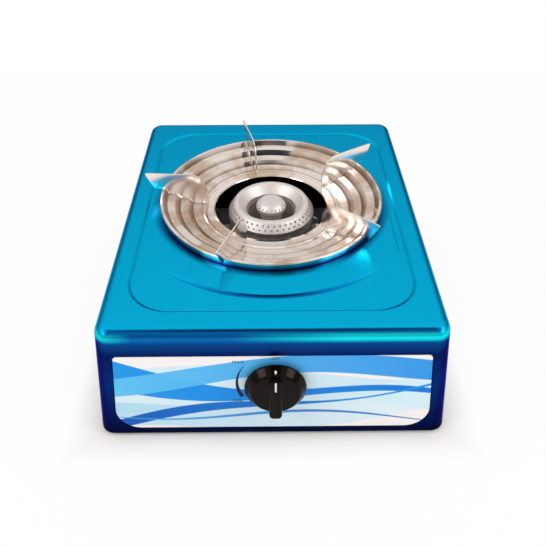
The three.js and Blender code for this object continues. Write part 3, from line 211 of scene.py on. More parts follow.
def drawn(name, points, face=True):
    """A piece that is one line through the points, drawn by extruding a vertex, filled where face is set"""
    only()
    bpy.ops.mesh.primitive_plane_add(size=1 * mm, location=(0, 0, 0))
    piece = bpy.context.object
    piece.name = name
    bpy.ops.object.mode_set(mode="EDIT")
    bpy.ops.mesh.select_mode(type="VERT")
    bpy.ops.mesh.merge(type="CENTER")
    here = Vector(points[0])
    bpy.ops.transform.translate(value=here)
    for point in points[1:]:
        there = Vector(point)
        bpy.ops.mesh.extrude_region_move(TRANSFORM_OT_translate={"value": there - here})
        here = there
    bpy.ops.mesh.select_all(action="SELECT")
    if face:
        bpy.ops.mesh.edge_face_add()
    bpy.ops.object.mode_set(mode="OBJECT")
    return piece


def pick(test, kind="FACE"):
    """Selects what passes the test on the piece in edit mode"""
    bpy.ops.mesh.select_mode(type=kind)
    bpy.ops.mesh.select_all(action="DESELECT")
    mesh = bmesh.from_edit_mesh(bpy.context.edit_object.data)
    parts = {"FACE": mesh.faces, "EDGE": mesh.edges, "VERT": mesh.verts}[kind]
    for part in parts:
        if test(part):
            part.select_set(True)
    bmesh.update_edit_mesh(bpy.context.edit_object.data)


def plate(name, points, low, high, grow=0.0):
    """A block that rises from the outline at low to high, and grows or shrinks sideways on the way"""
    piece = drawn(name, [(p[0], p[1], low) for p in points])
    bpy.ops.object.mode_set(mode="EDIT")
    bpy.ops.mesh.select_all(action="SELECT")
    bpy.ops.mesh.extrude_region_move(TRANSFORM_OT_translate={"value": (0, 0, high - low)})
    if grow:
        xs = [p[0] for p in points]
        ys = [p[1] for p in points]
        middle = ((max(xs) + min(xs)) / 2, (max(ys) + min(ys)) / 2, high)
        share = (1 + 2 * grow / (max(xs) - min(xs)), 1 + 2 * grow / (max(ys) - min(ys)), 1)
        bpy.ops.transform.resize(value=share, center_override=middle)
    bpy.ops.mesh.select_all(action="SELECT")
    bpy.ops.mesh.normals_make_consistent(inside=False)
    bpy.ops.object.mode_set(mode="OBJECT")
    return piece


def modify(piece, kind, **settings):
    """Adds a modifier and applies it"""
    only(piece)
    bpy.ops.object.modifier_add(type=kind)
    modifier = piece.modifiers[-1]
    for name, value in settings.items():
        setattr(modifier, name, value)
    bpy.ops.object.modifier_apply(modifier=modifier.name)


def cut(piece, tool, operation="DIFFERENCE"):
    """Cuts the piece with the tool, or joins or crosses the two, and uses the tool up"""
    modify(piece, "BOOLEAN", object=tool, operation=operation, solver="EXACT")
    bpy.data.objects.remove(tool)


def placed(piece, matrix):
    """Moves the piece by the matrix, and keeps its object at the origin"""
    piece.matrix_world = matrix
    only(piece)
    bpy.ops.object.transform_apply(location=True, rotation=True, scale=True)
    return piece


def finished(piece, body, material, *nodes, angle=35, slot=None):
    """Shades the piece, gives it its material, and hangs it on its body in place of the CAD nodes"""
    only(piece)
    bpy.ops.object.transform_apply(location=True, rotation=True, scale=True)
    bpy.ops.object.shade_smooth_by_angle(angle=radians(angle))
    piece.data.materials.clear()
    piece.data.materials.append(material)
    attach(piece, body)
    if nodes:
        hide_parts(*nodes)
    return piece


def new_material(name, **sockets):
    """A material with one shader, whose own sockets take the values"""
    made = bpy.data.materials.new(name)
    made.use_nodes = True
    tree = made.node_tree
    tree.nodes.clear()
    values = {key.replace("_", " "): value for key, value in sockets.items()}
    shader = add(tree, "BsdfPrincipled", values)
    add(tree, "OutputMaterial", {"Surface": shader.outputs["BSDF"]})
    return made, tree, shader


base_z, top_z = 4 * mm, 114 * mm
middle_y = -2.579 * mm
wall_lean, sheet_thickness = 10 * mm, 1 * mm
corner_radius, roll_radius = 13 * mm, 8 * mm
burner = Vector((0, 7.421, 0)) * mm
origin = Vector((0, 0, 0))


def rectangle(half_x, half_y, radius, y=middle_y, steps=8):
    """The outline of a rounded rectangle, centred across the housing and at y along it"""
    return rounded([(half_x, y - half_y), (half_x, y + half_y), (-half_x, y + half_y), (-half_x, y - half_y)],
                   radius, steps)


def ring(radius, sides, middle):
    """The outline of a circle in that many sides"""
    turns = [tau * i / sides for i in range(sides)]
    return [(middle.x + radius * cos(turn), middle.y + radius * sin(turn)) for turn in turns]


shell = plate("housing_shell", rectangle(half_width, half_depth, corner_radius), base_z, top_z, -wall_lean)
bpy.ops.object.mode_set(mode="EDIT")
pick(lambda e: all(v.co.z > top_z - 0.1 * mm for v in e.verts), "EDGE")
bpy.ops.mesh.bevel(offset=roll_radius, segments=8, affect="EDGES", clamp_overlap=False)
bpy.ops.object.mode_set(mode="OBJECT")

# the dish, the round step that stands in it, and the pan's seat
dish_half_x, dish_half_y, dish_y = 117 * mm, 141 * mm, -4.579 * mm
dish_depth, dish_slope, dish_corner = 1.6 * mm, 2.2 * mm, 38 * mm
dish_floor = top_z - dish_depth
floor_outline = rectangle(dish_half_x - dish_slope, dish_half_y - dish_slope, dish_corner - dish_slope,
                          dish_y, 14)
cut(shell, plate("tool", floor_outline, dish_floor, top_z + dish_depth, 2 * dish_slope))
step_radius, step_height, step_slope, step_inset = 137 * mm, 1 * mm, 3 * mm, 5 * mm
sunk = 1 * mm       # the block that becomes the step starts this far under the dish's floor
step = plate("tool", ring(step_radius, 128, burner), dish_floor - sunk, dish_floor + step_height, -step_slope)
step_sides = plate("tool_sides", rectangle(dish_half_x - step_inset, dish_half_y - step_inset,
                                           dish_corner - step_inset, dish_y, 14),
                   dish_floor - sunk, dish_floor + step_height, -step_slope)
cut(step, step_sides, "INTERSECT")
cut(shell, step, "UNION")
seat_radius, seat_depth = 96 * mm, 9.6 * mm
cut(shell, plate("tool", ring(seat_radius, 160, burner), top_z - seat_depth, top_z + 2 * mm))

# the front's own axes: X along the housing, Y up the leaning face, Z out of it, from the knob's axis; and
# the back's, from the gas inlet's
lean_angle = atan2(wall_lean, top_z - base_z)
front = Matrix.Translation(Vector((2, -172.488, 60)) * mm) @ Matrix.Rotation(pi / 2 - lean_angle, 4, "X")
back = Matrix.Translation(Vector((85, 167.149, 62)) * mm) @ Matrix.Rotation(lean_angle - pi / 2, 4, "X")
window_depth = 1.5 * mm
window_outline = rounded([(-132.5 * mm, -50.7 * mm), (128.5 * mm, -50.7 * mm), (121.2 * mm, 30.12 * mm),
                          (-125.2 * mm, 30.12 * mm)], [20 * mm, 20 * mm, 4 * mm, 4 * mm], 10)
cut(shell, placed(plate("tool", window_outline, -window_depth, 3 * mm), front))

# The opening below and the holes are cut blind, and opened by taking their faces away: for the valve stem,
# its two screws, the gas inlet, the four feet and the rail's two screws.
underneath = Matrix.Translation((0, middle_y, base_z)) @ Matrix.Rotation(pi, 4, "X")
flange_width, opening_depth, opening_corner = 24 * mm, 1.5 * mm, 16 * mm
opening_half_x, opening_half_y = half_width - flange_width, half_depth - flange_width
cut(shell, plate("tool", rectangle(opening_half_x, opening_half_y, opening_corner), base_z - 3 * mm,
                 base_z + opening_depth))
stem_hole, screw_hole, screw_x = 4.2 * mm, 2.1 * mm, 16 * mm
inlet_hole, rail_hole, foot_hole = 7.3 * mm, 2.3 * mm, 3.9 * mm
flange_x, foot_y = 130 * mm, 160 * mm
# each hole: the axes of its face, its place on them, its radius, and the face's own height on them
holes = [(front, 0, 0, stem_hole, -window_depth), (back, 0, 0, inlet_hole, 0)]
for side in (-1, 1):
    holes += [(front, side * screw_x, 0, screw_hole, -window_depth),
              (underneath, side * flange_x, middle_y - burner.y, rail_hole, 0),
              (underneath, side * flange_x, -foot_y, foot_hole, 0),
              (underneath, side * flange_x, foot_y, foot_hole, 0)]
for face, x, y, radius, level in holes:
    tool = plate("tool", ring(radius, 20, origin), level - 1 * mm, level + 3 * mm)
    cut(shell, placed(tool, face @ Matrix.Translation((x, y, 0))))
only(shell)
bpy.ops.object.mode_set(mode="EDIT")
slack = 0.1 * mm
pick(lambda f: base_z + slack < f.calc_center_median().z < base_z + opening_depth + slack
     and abs(f.calc_center_median().x) < opening_half_x + slack
     and abs(f.calc_center_median().y - middle_y) < opening_half_y + slack)
bpy.ops.mesh.delete(type="FACE")
pick(lambda f: f.normal.z > 0.9 and abs(f.calc_center_median().z - (top_z - seat_depth)) < 2 * slack)
bpy.ops.mesh.delete(type="FACE")
for face, x, y, radius, level in holes:
    inward = (face @ Matrix.Translation((x, y, 0))).inverted()
    pick(lambda f: all(hypot(p.x, p.y) < radius + slack and abs(p.z - level) < 1 * mm + slack
                       for p in (inward @ v.co for v in f.verts))
         and (inward @ f.calc_center_median()).z < level - 2 * slack)
    bpy.ops.mesh.delete(type="FACE")
# scraps of edge that are too short to take the sheet's thickness are merged first
bpy.ops.mesh.select_all(action="SELECT")
bpy.ops.mesh.remove_doubles(threshold=0.15 * mm)
bpy.ops.object.mode_set(mode="OBJECT")
modify(shell, "SOLIDIFY", thickness=sheet_thickness, offset=-1, use_even_offset=True)
# the window's rim and the front's lower edge are softly rounded
only(shell)
bpy.ops.object.mode_set(mode="EDIT")
pick(lambda e: len(e.link_faces) == 2 and e.calc_face_angle() > radians(22)
     and all(abs((front.inverted() @ v.co).z) < 0.05 * mm for v in e.verts), "EDGE")
bpy.ops.mesh.bevel(offset=0.35 * mm, segments=5, affect="EDGES")
bpy.ops.object.mode_set(mode="OBJECT")

# Clear blue lacquer sprayed over bright steel. It is cyan on the flat top and deep blue on the front edge and
# the walls, nearly navy at the foot: its own blue with painted shade and painted reflection laid in by
# height.
# The metal under it makes the gloss blue too, and a faint orange peel lies on it, about 3 mm wide, with dull
# smears in it.
peel_width, smear_width = 3.03 * mm, 111 * mm
lacquer, tree, shader = new_material("clear blue lacquer over bright steel", Metallic=1.0,
                                     Specular_Tint=linear("#0A90C8"), Coat_Weight=0.05,
                                     Coat_Roughness=0.05)
place = add(tree, "TexCoord").outputs["Object"]
axes = add(tree, "SeparateXYZ", {0: place})
height = add(tree, "MapRange", {"Value": axes.outputs["Z"], "From Min": base_z, "From Max": top_z})
# a stop is a share of the height from foot to top, and the hue there, with painted shade darkening towards
# the
# foot: the front's has a painted highlight band under its rolled edge and a painted shade band over the
# window
wall_hue_shade_stops = [(0.0, "#04102E"), (0.12, "#001C55"), (0.5, "#003A85"), (0.8, "#0A62B0"), (0.9, "#0A8CC8"),
              (0.96, "#00B4E5")]
front_hue_light_stops = [(0.0, "#04102E"), (0.12, "#00164C"), (0.5, "#002F74"), (0.79, "#001C5C"), (0.825, "#0A2F70"),
               (0.893, "#06458C"), (0.935, "#0C6BB4"), (0.985, "#005CA6"), (1.0, "#0C74BC")]
wall_hue_and_shade, front_hue_and_light = (add(tree, "ValToRGB", {0: height}, [(at, linear(colour)) for at, colour in stops])
                         for stops in (wall_hue_shade_stops, front_hue_light_stops))
edge_start = middle_y - half_depth + wall_lean + roll_radius
edge_share = add(tree, "MapRange", {"Value": axes.outputs["Y"], "From Min": edge_start - 2.9 * mm,
                                    "From Max": edge_start - 4.4 * mm})
coat = add(tree, "Mix", {0: edge_share, 6: wall_hue_and_shade, 7: front_hue_and_light}, data_type="RGBA")
# painted glint: a bright cyan highlight painted at the two ends of the front edge, longer at the right
glint_left = add(tree, "MapRange", {"Value": axes.outputs["X"], "From Min": -106 * mm, "From Max": -134 * mm})
glint_right = add(tree, "MapRange", {"Value": axes.outputs["X"], "From Min": -30 * mm, "From Max": 54 * mm})
painted_glint = add(tree, "Math", {0: glint_left, 1: glint_right}, operation="MAXIMUM")
above = add(tree, "MapRange", {"Value": height, "From Min": 0.896, "From Max": 0.94},
            interpolation_type="SMOOTHSTEP")
below = add(tree, "MapRange", {"Value": height, "From Min": 0.98, "From Max": 0.961},
            interpolation_type="SMOOTHSTEP")
band = add(tree, "Math", {0: above, 1: below}, operation="MULTIPLY")
painted_glint = add(tree, "Math", {0: painted_glint, 1: band}, operation="MULTIPLY")
coat = add(tree, "Mix", {0: painted_glint, 6: coat.outputs[2], 7: linear("#14E4F0")}, data_type="RGBA")
# painted shadow: the lacquer is darkened round the pan's seat, most at the front, as shade under the pan's
# rim
seat = add(tree, "VectorMath", {0: place, 1: (burner.x, burner.y, 0)}, operation="SUBTRACT")
seat = add(tree, "VectorMath", {0: seat, 1: (1, 1, 0)}, operation="MULTIPLY")
seat = add(tree, "VectorMath", {0: seat}, operation="LENGTH").outputs["Value"]
painted_rim_shadow = add(tree, "MapRange", {"Value": seat, "From Min": 115 * mm, "From Max": 105 * mm},
             interpolation_type="SMOOTHSTEP")
to_front = add(tree, "MapRange", {"Value": axes.outputs["Y"], "From Min": 70 * mm, "From Max": -50 * mm})
painted_rim_shadow = add(tree, "Math", {0: painted_rim_shadow, 1: to_front}, operation="MULTIPLY")
coat = add(tree, "Mix", {0: painted_rim_shadow, 6: coat.outputs[2], 7: linear("#001E62")}, data_type="RGBA")
# and painted shade, a darker line along the front of the round step's slope
off_slope = add(tree, "Math", {0: seat, 1: step_radius - 1.2 * mm}, operation="SUBTRACT")
off_slope = add(tree, "Math", {0: off_slope}, operation="ABSOLUTE")
painted_step_shade = add(tree, "MapRange", {"Value": off_slope, "From Min": 2.6 * mm, "From Max": 0.8 * mm, "To Max": 0.9})
to_front = add(tree, "MapRange", {"Value": axes.outputs["Y"], "From Min": -100 * mm, "From Max": -125 * mm})
painted_step_shade = add(tree, "Math", {0: painted_step_shade, 1: to_front}, operation="MULTIPLY")
coat = add(tree, "Mix", {0: painted_step_shade, 6: coat.outputs[2], 7: linear("#0058B4")}, data_type="RGBA")
tree.links.new(coat.outputs[2], shader.inputs["Base Color"])
peel = add(tree, "TexNoise", {"Vector": place, "Scale": 1 / peel_width, "Detail": 2.0})
bump = add(tree, "Bump", {"Height": peel, "Strength": 0.04, "Distance": 0.4 * mm})
tree.links.new(bump.outputs[0], shader.inputs["Normal"])
smear = add(tree, "TexNoise", {"Vector": place, "Scale": 1 / smear_width, "Detail": 3.0})
rough = add(tree, "MapRange", {"Value": smear, "To Min": 0.15, "To Max": 0.3})
tree.links.new(rough.outputs[0], shader.inputs["Roughness"])
finished(shell, "housing", lacquer, "body_shell", angle=22, slot="lacquered_sheet")
# the pressed lines are crisp, but the round step runs out softly at the dish's two sides
bpy.ops.object.mode_set(mode="EDIT")
pick(lambda e: all(106 * mm < abs(v.co.x) < 113.5 * mm and abs(v.co.y - dish_y) < 110 * mm
                   and top_z - 1.8 * mm < v.co.z < top_z - 0.4 * mm for v in e.verts), "EDGE")
bpy.ops.mesh.mark_sharp(clear=True)
bpy.ops.object.mode_set(mode="OBJECT")
modify(shell, "WEIGHTED_NORMAL", keep_sharp=True, weight=90)


# The four feet: soft rubber plugs, pushed up through the flange's corner holes until their necks snap in.
# They keep their CAD shapes, as nearly all the works inside the housing do.
def grained(name, low, high, grain_width, detail=4.0, relief=0.0, depth=0.3 * mm, gleam=None, **sockets):
    """A material whose tone goes from low to high with a grain of this width. Its surface is raised with the
    grain where relief is set, and its roughness goes through gleam's two values with it"""
    made, tree, shader = new_material(name, **sockets)
    place = add(tree, "TexCoord").outputs["Object"]
    grain = add(tree, "TexNoise", {"Vector": place, "Scale": 1 / grain_width, "Detail": detail})
    tone = add(tree, "Mix", {0: grain, 6: linear(low), 7: linear(high)}, data_type="RGBA")
    tree.links.new(tone.outputs[2], shader.inputs["Base Color"])
    if relief:
        bump = add(tree, "Bump", {"Height": grain, "Strength": relief, "Distance": depth})
        tree.links.new(bump.outputs[0], shader.inputs["Normal"])
    if gleam:
        rough = add(tree, "MapRange", {"Value": grain, "To Min": gleam[0], "To Max": gleam[1]})
        tree.links.new(rough.outputs[0], shader.inputs["Roughness"])
    return made


def dressed(material, *names):
    """Gives CAD nodes their material, and leaves their shapes alone"""
    for name in names:
        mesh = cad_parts[name].data
        mesh.materials.clear()
        mesh.materials.append(material)


# moulded black rubber: nearly black and quite dull, with a fine powdery skin, drawn coarse enough to show
rubber = grained("black rubber, moulded", "#101010", "#1E1E1E", 1.11 * mm, relief=0.3, Roughness=0.85)
dressed(rubber, "foot_front_left", "foot_front_right", "foot_back_left", "foot_back_right")


# The burner rail: a strap bent from steel strip that crosses the housing from flange to flange and carries
# the burner. Two screws hold it from below.

# zinc plated steel: a pale blueish grey with a soft shine and a faint mottle
zinc = grained("steel, zinc plated", "#9CA0A3", "#C9CCCE", 2.86 * mm, relief=0.1, Roughness=0.4,
               Metallic=0.95)
dressed(zinc, "burner_rail", "rail_screw_left", "rail_screw_right")


# The control panel: a thin printed sheet laid in the window and held by the valve's screws. White under a
# gloss film, it has blue waves and the knob's crescent, a generic pattern of crossing waves.
panel_outline = rounded([(-131.9 * mm, -50.1 * mm), (127.9 * mm, -50.1 * mm), (120.7 * mm, 29.6 * mm),
                         (-124.7 * mm, 29.6 * mm)], [19.5 * mm, 19.5 * mm, 3.6 * mm, 3.6 * mm], 10)
panel_back, panel_face = -1.2 * mm, -0.6 * mm
panel = plate("printed_panel", panel_outline, panel_back, panel_face)
for x, radius in ((0, stem_hole), (-screw_x, screw_hole), (screw_x, screw_hole)):
    cut(panel, plate("tool", ring(radius, 32, Vector((x, 0, 0))), -3 * mm, 3 * mm))
placed(panel, front)
# clear gloss film over print: clean flat colours with an even, slightly soft shine
print_film, tree, shader = new_material("gloss film over a printed sheet", Roughness=0.3,
                                        Specular_IOR_Level=0.15, Coat_Weight=0.06, Coat_Roughness=0.05)
place = add(tree, "TexCoord").outputs["Object"]
axes = add(tree, "SeparateXYZ", {0: place})
across, up = axes.outputs["X"], axes.outputs["Z"]


def wave(tree, across, up, level, slope, swings):
    """Height above a wavy line, in metres: positive above it"""
    line = add(tree, "Math", {0: across, 1: slope, 2: level}, operation="MULTIPLY_ADD")
    for length, phase, size in swings:
        turn = add(tree, "Math", {0: across, 1: tau / length, 2: phase}, operation="MULTIPLY_ADD")
        swing = add(tree, "Math", {0: turn}, operation="SINE")
        line = add(tree, "Math", {0: swing, 1: size, 2: line}, operation="MULTIPLY_ADD")
    return add(tree, "Math", {0: up, 1: line}, operation="SUBTRACT")


wave_bands = [
    # lower and upper edge (level, slope, swings of length, phase, size), hue at the left and right, strength
    ((0.030, -0.06, [(0.46, 0.9, 0.014)]), (0.070, 0.03, [(0.40, 2.6, 0.012)]), "#D3EAF4", "#BFE3F4", 0.9),
    ((0.016, 0.10, [(0.34, 4.2, 0.010)]), (0.050, 0.13, [(0.38, 4.7, 0.013)]), "#9BD3EE", "#D8EEF6", 0.75),
    ((0.048, -0.10, [(0.36, 5.9, 0.013)]), (0.062, -0.16, [(0.30, 5.4, 0.012)]), "#1496E8", "#0274D8", 1.0),
    ((0.062, 0.05, [(0.30, 1.2, 0.009)]), (0.078, 0.02, [(0.42, 1.0, 0.012)]), "#5CC0F2", "#0290E6", 0.97),
    ((0.034, 0.20, [(0.28, 3.0, 0.006)]), (0.040, 0.17, [(0.27, 3.1, 0.008)]), "#0054B4", "#0A96EA", 1.0),
    ((0.0225, -0.03, [(0.26, 0.6, 0.006)]), (0.0245, -0.035, [(0.27, 0.7, 0.007)]), "#3AA4E8", "#0B57BE",
     0.95),
]
edge_blur = 0.3 * mm
rightward = add(tree, "MapRange", {"Value": across, "From Min": -130 * mm, "From Max": 130 * mm})
colour = linear("#F1EEEF")
for lower, upper, left_hue, right_hue, strength in wave_bands:
    above = add(tree, "MapRange", {"Value": wave(tree, across, up, *lower), "From Min": -edge_blur,
                                   "From Max": edge_blur, "To Max": strength})
    below = add(tree, "MapRange", {"Value": wave(tree, across, up, *upper), "From Min": edge_blur,
                                   "From Max": -edge_blur})
    share = add(tree, "Math", {0: above, 1: below}, operation="MULTIPLY")
    hue = add(tree, "Mix", {0: rightward, 6: linear(left_hue), 7: linear(right_hue)}, data_type="RGBA")
    colour = add(tree, "Mix", {0: share, 6: colour, 7: hue.outputs[2]}, data_type="RGBA").outputs[2]
tree.links.new(colour, shader.inputs["Base Color"])
finished(panel, "housing", print_film, "control_panel", slot="printed_panel")

# the knob's crescent swells from one end to the other, round the knob's left
ink_height = 0.05 * mm
crescent_radius, crescent_start, crescent_sweep = 31.5 * mm, 142, 66
thin_end, swell = 0.5 * mm, 3 * mm
inner, outer = [], []
arc_steps = 40
for i in range(arc_steps + 1):
    share = i / arc_steps
    angle = radians(crescent_start + crescent_sweep * share)
    inside = crescent_radius - (thin_end + swell * share)
    outer.append((crescent_radius * cos(angle), crescent_radius * sin(angle)))
    inner.append((inside * cos(angle), inside * sin(angle)))
crescent = plate("scale_crescent", outer + inner[::-1], panel_face, panel_face + ink_height)
placed(crescent, front)
# printing ink: a flat navy, speckled as finely as the printing screen's mesh
screen_mesh = 0.4 * mm
ink = grained("dark blue printing ink, screen printed", "#050A24", "#101A48", screen_mesh, detail=2.0,
              Roughness=0.4, Specular_IOR_Level=0.2)
finished(crescent, "housing", ink, slot="printed_panel")


def label(name, words, size, x, y):
    """A printed word, centred on its place on the panel"""
    only()
    bpy.ops.object.text_add(location=(0, 0, 0))
    text = bpy.context.object
    text.data.body = words
    text.data.size = size
    text.data.align_x = "CENTER"
    text.data.align_y = "CENTER"
    text.data.extrude = ink_height / 2
    text.name = name
    bpy.ops.object.convert(target="MESH")
    bpy.ops.object.mode_set(mode="EDIT")
    bpy.ops.mesh.select_all(action="SELECT")
    bpy.ops.mesh.remove_doubles(threshold=0.001 * mm)
    placed(text, front @ Matrix.Translation((x, y, panel_face + ink_height / 2)))
    return finished(text, "housing", ink, slot="printed_panel")


label("label_off", "OFF", 3.6 * mm, 0, 26.9 * mm)
label("label_high", "MAX", 4.2 * mm, -29 * mm, 23.5 * mm)
label("label_low", "MIN", 4.2 * mm, -30.5 * mm, -19 * mm)


# The gas valve, behind the front: a die cast body with a tapered brass plug, the knob's steel stem under its
# bonnet, and the drilled brass jet. Two screws hold it to the front, through the panel.

# die cast aluminium: a satin light grey with a slightly pebbled skin
die_cast = grained("aluminium, die cast", "#A5A3A1", "#CFCCCA", 2 * mm, relief=0.2, Roughness=0.5,
                   Metallic=0.9)
dressed(die_cast, "valve_body")
dressed(zinc, "valve_bonnet", "valve_stem", "valve_screw_left", "valve_screw_right")
# turned brass: bright gold yellow, browner and duller in cloudy patches where it has tarnished
tarnish_width = 8.33 * mm
turned_brass = grained("brass, turned", "#9A7430", "#E0B866", tarnish_width, detail=5.0, gleam=(0.4, 0.15),
                       Metallic=1.0)
dressed(turned_brass, "valve_plug", "injector")


# The return spring behind the knob: one drawn wire wound to five turns, its two ends ground flat. It stands
# on the plug as one rigid piece; the real spring shortens as the stem comes in.
spring_low, spring_high = -19.98 * mm, -8.416 * mm
wire_radius, coil_radius, turns = 0.4 * mm, 4.6 * mm, 5
ground = 0.1 * mm
rise = (spring_high - spring_low - 2 * ground) / turns
only()
bpy.ops.mesh.primitive_circle_add(vertices=12, radius=wire_radius,
                                  location=(coil_radius, 0, spring_low + ground), rotation=(pi / 2, 0, 0))
spring = bpy.context.object
spring.name = "wound_spring"
bpy.ops.object.transform_apply(location=True, rotation=True, scale=True)
modify(spring, "SCREW", angle=tau, screw_offset=rise, iterations=turns, steps=32, render_steps=32, axis="Z")
bpy.ops.object.mode_set(mode="EDIT")
bpy.ops.mesh.select_all(action="SELECT")
bpy.ops.mesh.fill_holes(sides=0)
for level, outward in ((spring_low, -1), (spring_high, 1)):
    bpy.ops.mesh.select_all(action="SELECT")
    bpy.ops.mesh.bisect(plane_co=(0, 0, level), plane_no=(0, 0, outward), use_fill=True, clear_outer=True,
                        threshold=0.001 * mm)
bpy.ops.mesh.select_all(action="SELECT")
bpy.ops.mesh.normals_make_consistent(inside=False)
bpy.ops.object.mode_set(mode="OBJECT")
placed(spring, front)
# drawn spring steel: a cool bright grey, with the drawing die's marks drawn coarse enough to show
die_mark_width = 1.11 * mm
spring_wire = grained("spring steel, drawn", "#8D8F92", "#B9BCBE", die_mark_width, Metallic=1.0,
                      Roughness=0.3)
finished(spring, "valve_plug", spring_wire, "stem_spring", slot="spring_steel")
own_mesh(spring)


# The knob: moulded black plastic with a high gloss, a stepped round skirt and a proud grip bar across it,
# with a white filled groove as its pointer. It pushes onto the valve stem.
def spun(name, outline, sides, middle=burner):
    """A piece turned about the upright axis at middle: the outline is radius, height"""
    piece = drawn(name, [(middle.x + p[0], middle.y, p[1]) for p in outline], face=False)
    bpy.ops.object.mode_set(mode="EDIT")
    bpy.ops.mesh.select_all(action="SELECT")
    bpy.ops.mesh.spin(steps=sides, angle=tau, center=(middle.x, middle.y, 0), axis=(0, 0, 1))
    bpy.ops.mesh.select_all(action="SELECT")
    bpy.ops.mesh.remove_doubles(threshold=0.002 * mm)
    bpy.ops.mesh.normals_make_consistent(inside=False)
    bpy.ops.object.mode_set(mode="OBJECT")
    return piece


def bar(half, low, high, radius, steps):
    """The outline of a bar that lies along Y from low to high, half its width to each side"""
    return rounded([(half, low), (half, high), (-half, high), (-half, low)], radius, steps)


skirt_foot, skirt_low, skirt_high, skirt_top = 3 * mm, 7.25 * mm, 9.9 * mm, 11.5 * mm
low_radius, high_radius = 22.4 * mm, 20.4 * mm
knob_outline = rounded([(0, skirt_foot), (24.4 * mm, skirt_foot), (24.4 * mm, 4.7 * mm),
                        (low_radius, skirt_low), (high_radius, skirt_high), (18.8 * mm, skirt_top),
                        (0, skirt_top)], [0, 0.4 * mm, 0.5 * mm, 2 * mm, 1 * mm, 1 * mm, 0], 5, closed=False)
knob = spun("knob_moulding", knob_outline, 96, origin)
grip_top = 17.5 * mm
grip = plate("grip", bar(5.5 * mm, -21.5 * mm, 19.5 * mm, 3.5 * mm, 8), 6 * mm, grip_top, -0.5 * mm)
bpy.ops.object.mode_set(mode="EDIT")
pick(lambda e: all(v.co.z > grip_top - 0.1 * mm for v in e.verts), "EDGE")
bpy.ops.mesh.bevel(offset=1.4 * mm, segments=4, affect="EDGES")
bpy.ops.object.mode_set(mode="OBJECT")
cut(knob, grip, "UNION")
groove_floor = 16.9 * mm
cut(knob, plate("tool", bar(0.8 * mm, 9 * mm, 18.7 * mm, 0.5 * mm, 3), groove_floor, 19 * mm))
modify(knob, "BEVEL", width=0.35 * mm, segments=3, limit_method="ANGLE", angle_limit=radians(40))
# it is hollow behind, with a hub and a bore for the stem, and clears the valve's screws when pressed
hollow_outline = [(0, 2 * mm), (23.015 * mm, 2 * mm), (18.4 * mm, 9.5 * mm), (0, 9.5 * mm)]
cut(knob, spun("tool", hollow_outline, 96, origin))
cut(knob, plate("hub", ring(6.5 * mm, 48, origin), skirt_foot, 10.5 * mm), "UNION")
cut(knob, plate("tool", ring(3.3 * mm, 32, origin), 2 * mm, 11.3 * mm))
placed(knob, front)
# polished phenolic: a deep black with a sharp warm gloss, wavier where the moulding flowed
flow_width = 16.7 * mm
gloss_black = grained("phenolic, moulded and polished", "#020203", "#080606", flow_width, detail=3.0,
                      gleam=(0.08, 0.22), IOR=1.6, Specular_IOR_Level=0.1, Specular_Tint=linear("#FFE2CC"))
finished(knob, "knob", gloss_black, "knob", slot="knob_plastic")

# the groove's filling, and a second mark on the skirt's slope over the pointer
pointer = plate("knob_pointer", bar(0.75 * mm, 9.1 * mm, 18.6 * mm, 0.45 * mm, 3), groove_floor + 0.05 * mm,
                groove_floor + 0.45 * mm)
placed(pointer, front)
skirt_mark = plate("skirt_mark", bar(0.8 * mm, -1.25 * mm, 1.25 * mm, 0.4 * mm, 3), -0.15 * mm, 0.08 * mm)
slope_tilt = atan2(low_radius - high_radius, skirt_high - skirt_low)
mark_place = Matrix.Translation((0, (low_radius + high_radius) / 2,
                                 (skirt_low + skirt_high) / 2 + 0.005 * mm))
placed(skirt_mark, front @ mark_place @ Matrix.Rotation(slope_tilt - pi / 2, 4, "X"))
# filling paint: an off white, slightly rosy and chalky
chalk_width = 1.11 * mm
white_paint = grained("white filling paint", "#D9CBD0", "#F2ECEE", chalk_width, detail=2.0, Roughness=0.4)
finished(pointer, "knob", white_paint, slot="knob_plastic")
finished(skirt_mark, "knob", white_paint, slot="knob_plastic")


# The burner body: cup, stem, bridge and mixing tube in one iron casting, screwed down on the rail. A slotted
# steel disc, the air shutter, turns on the tube's mouth.

# sand cast iron: a warm grey without shine, rough as the sand it was poured in
iron = grained("grey iron, sand cast", "#7E756C", "#C9BEB2", 1.43 * mm, relief=0.7, Roughness=0.7,
               Metallic=0.25)
dressed(iron, "burner_body")
dressed(zinc, "burner_screw_left", "burner_screw_right", "air_shutter")


# The burner's outer cap: cast aluminium, machined and then left bright, with two staggered rows of drilled
# ports round its slope. It drops into the cup by a spigot.
def drilled(piece, places, radius):
    """Drills the piece at each place, along that place's own Z axis"""
    drills = []
    for place in places:
        only()
        bpy.ops.mesh.primitive_cylinder_add(vertices=12, radius=radius, depth=5 * mm)
        drill = bpy.context.object
        drill.matrix_world = place
        drills.append(drill)
    only(*drills)
    bpy.ops.object.join()
    drill = bpy.context.object
    bpy.ops.object.transform_apply(location=True, rotation=True, scale=True)
    cut(piece, drill)


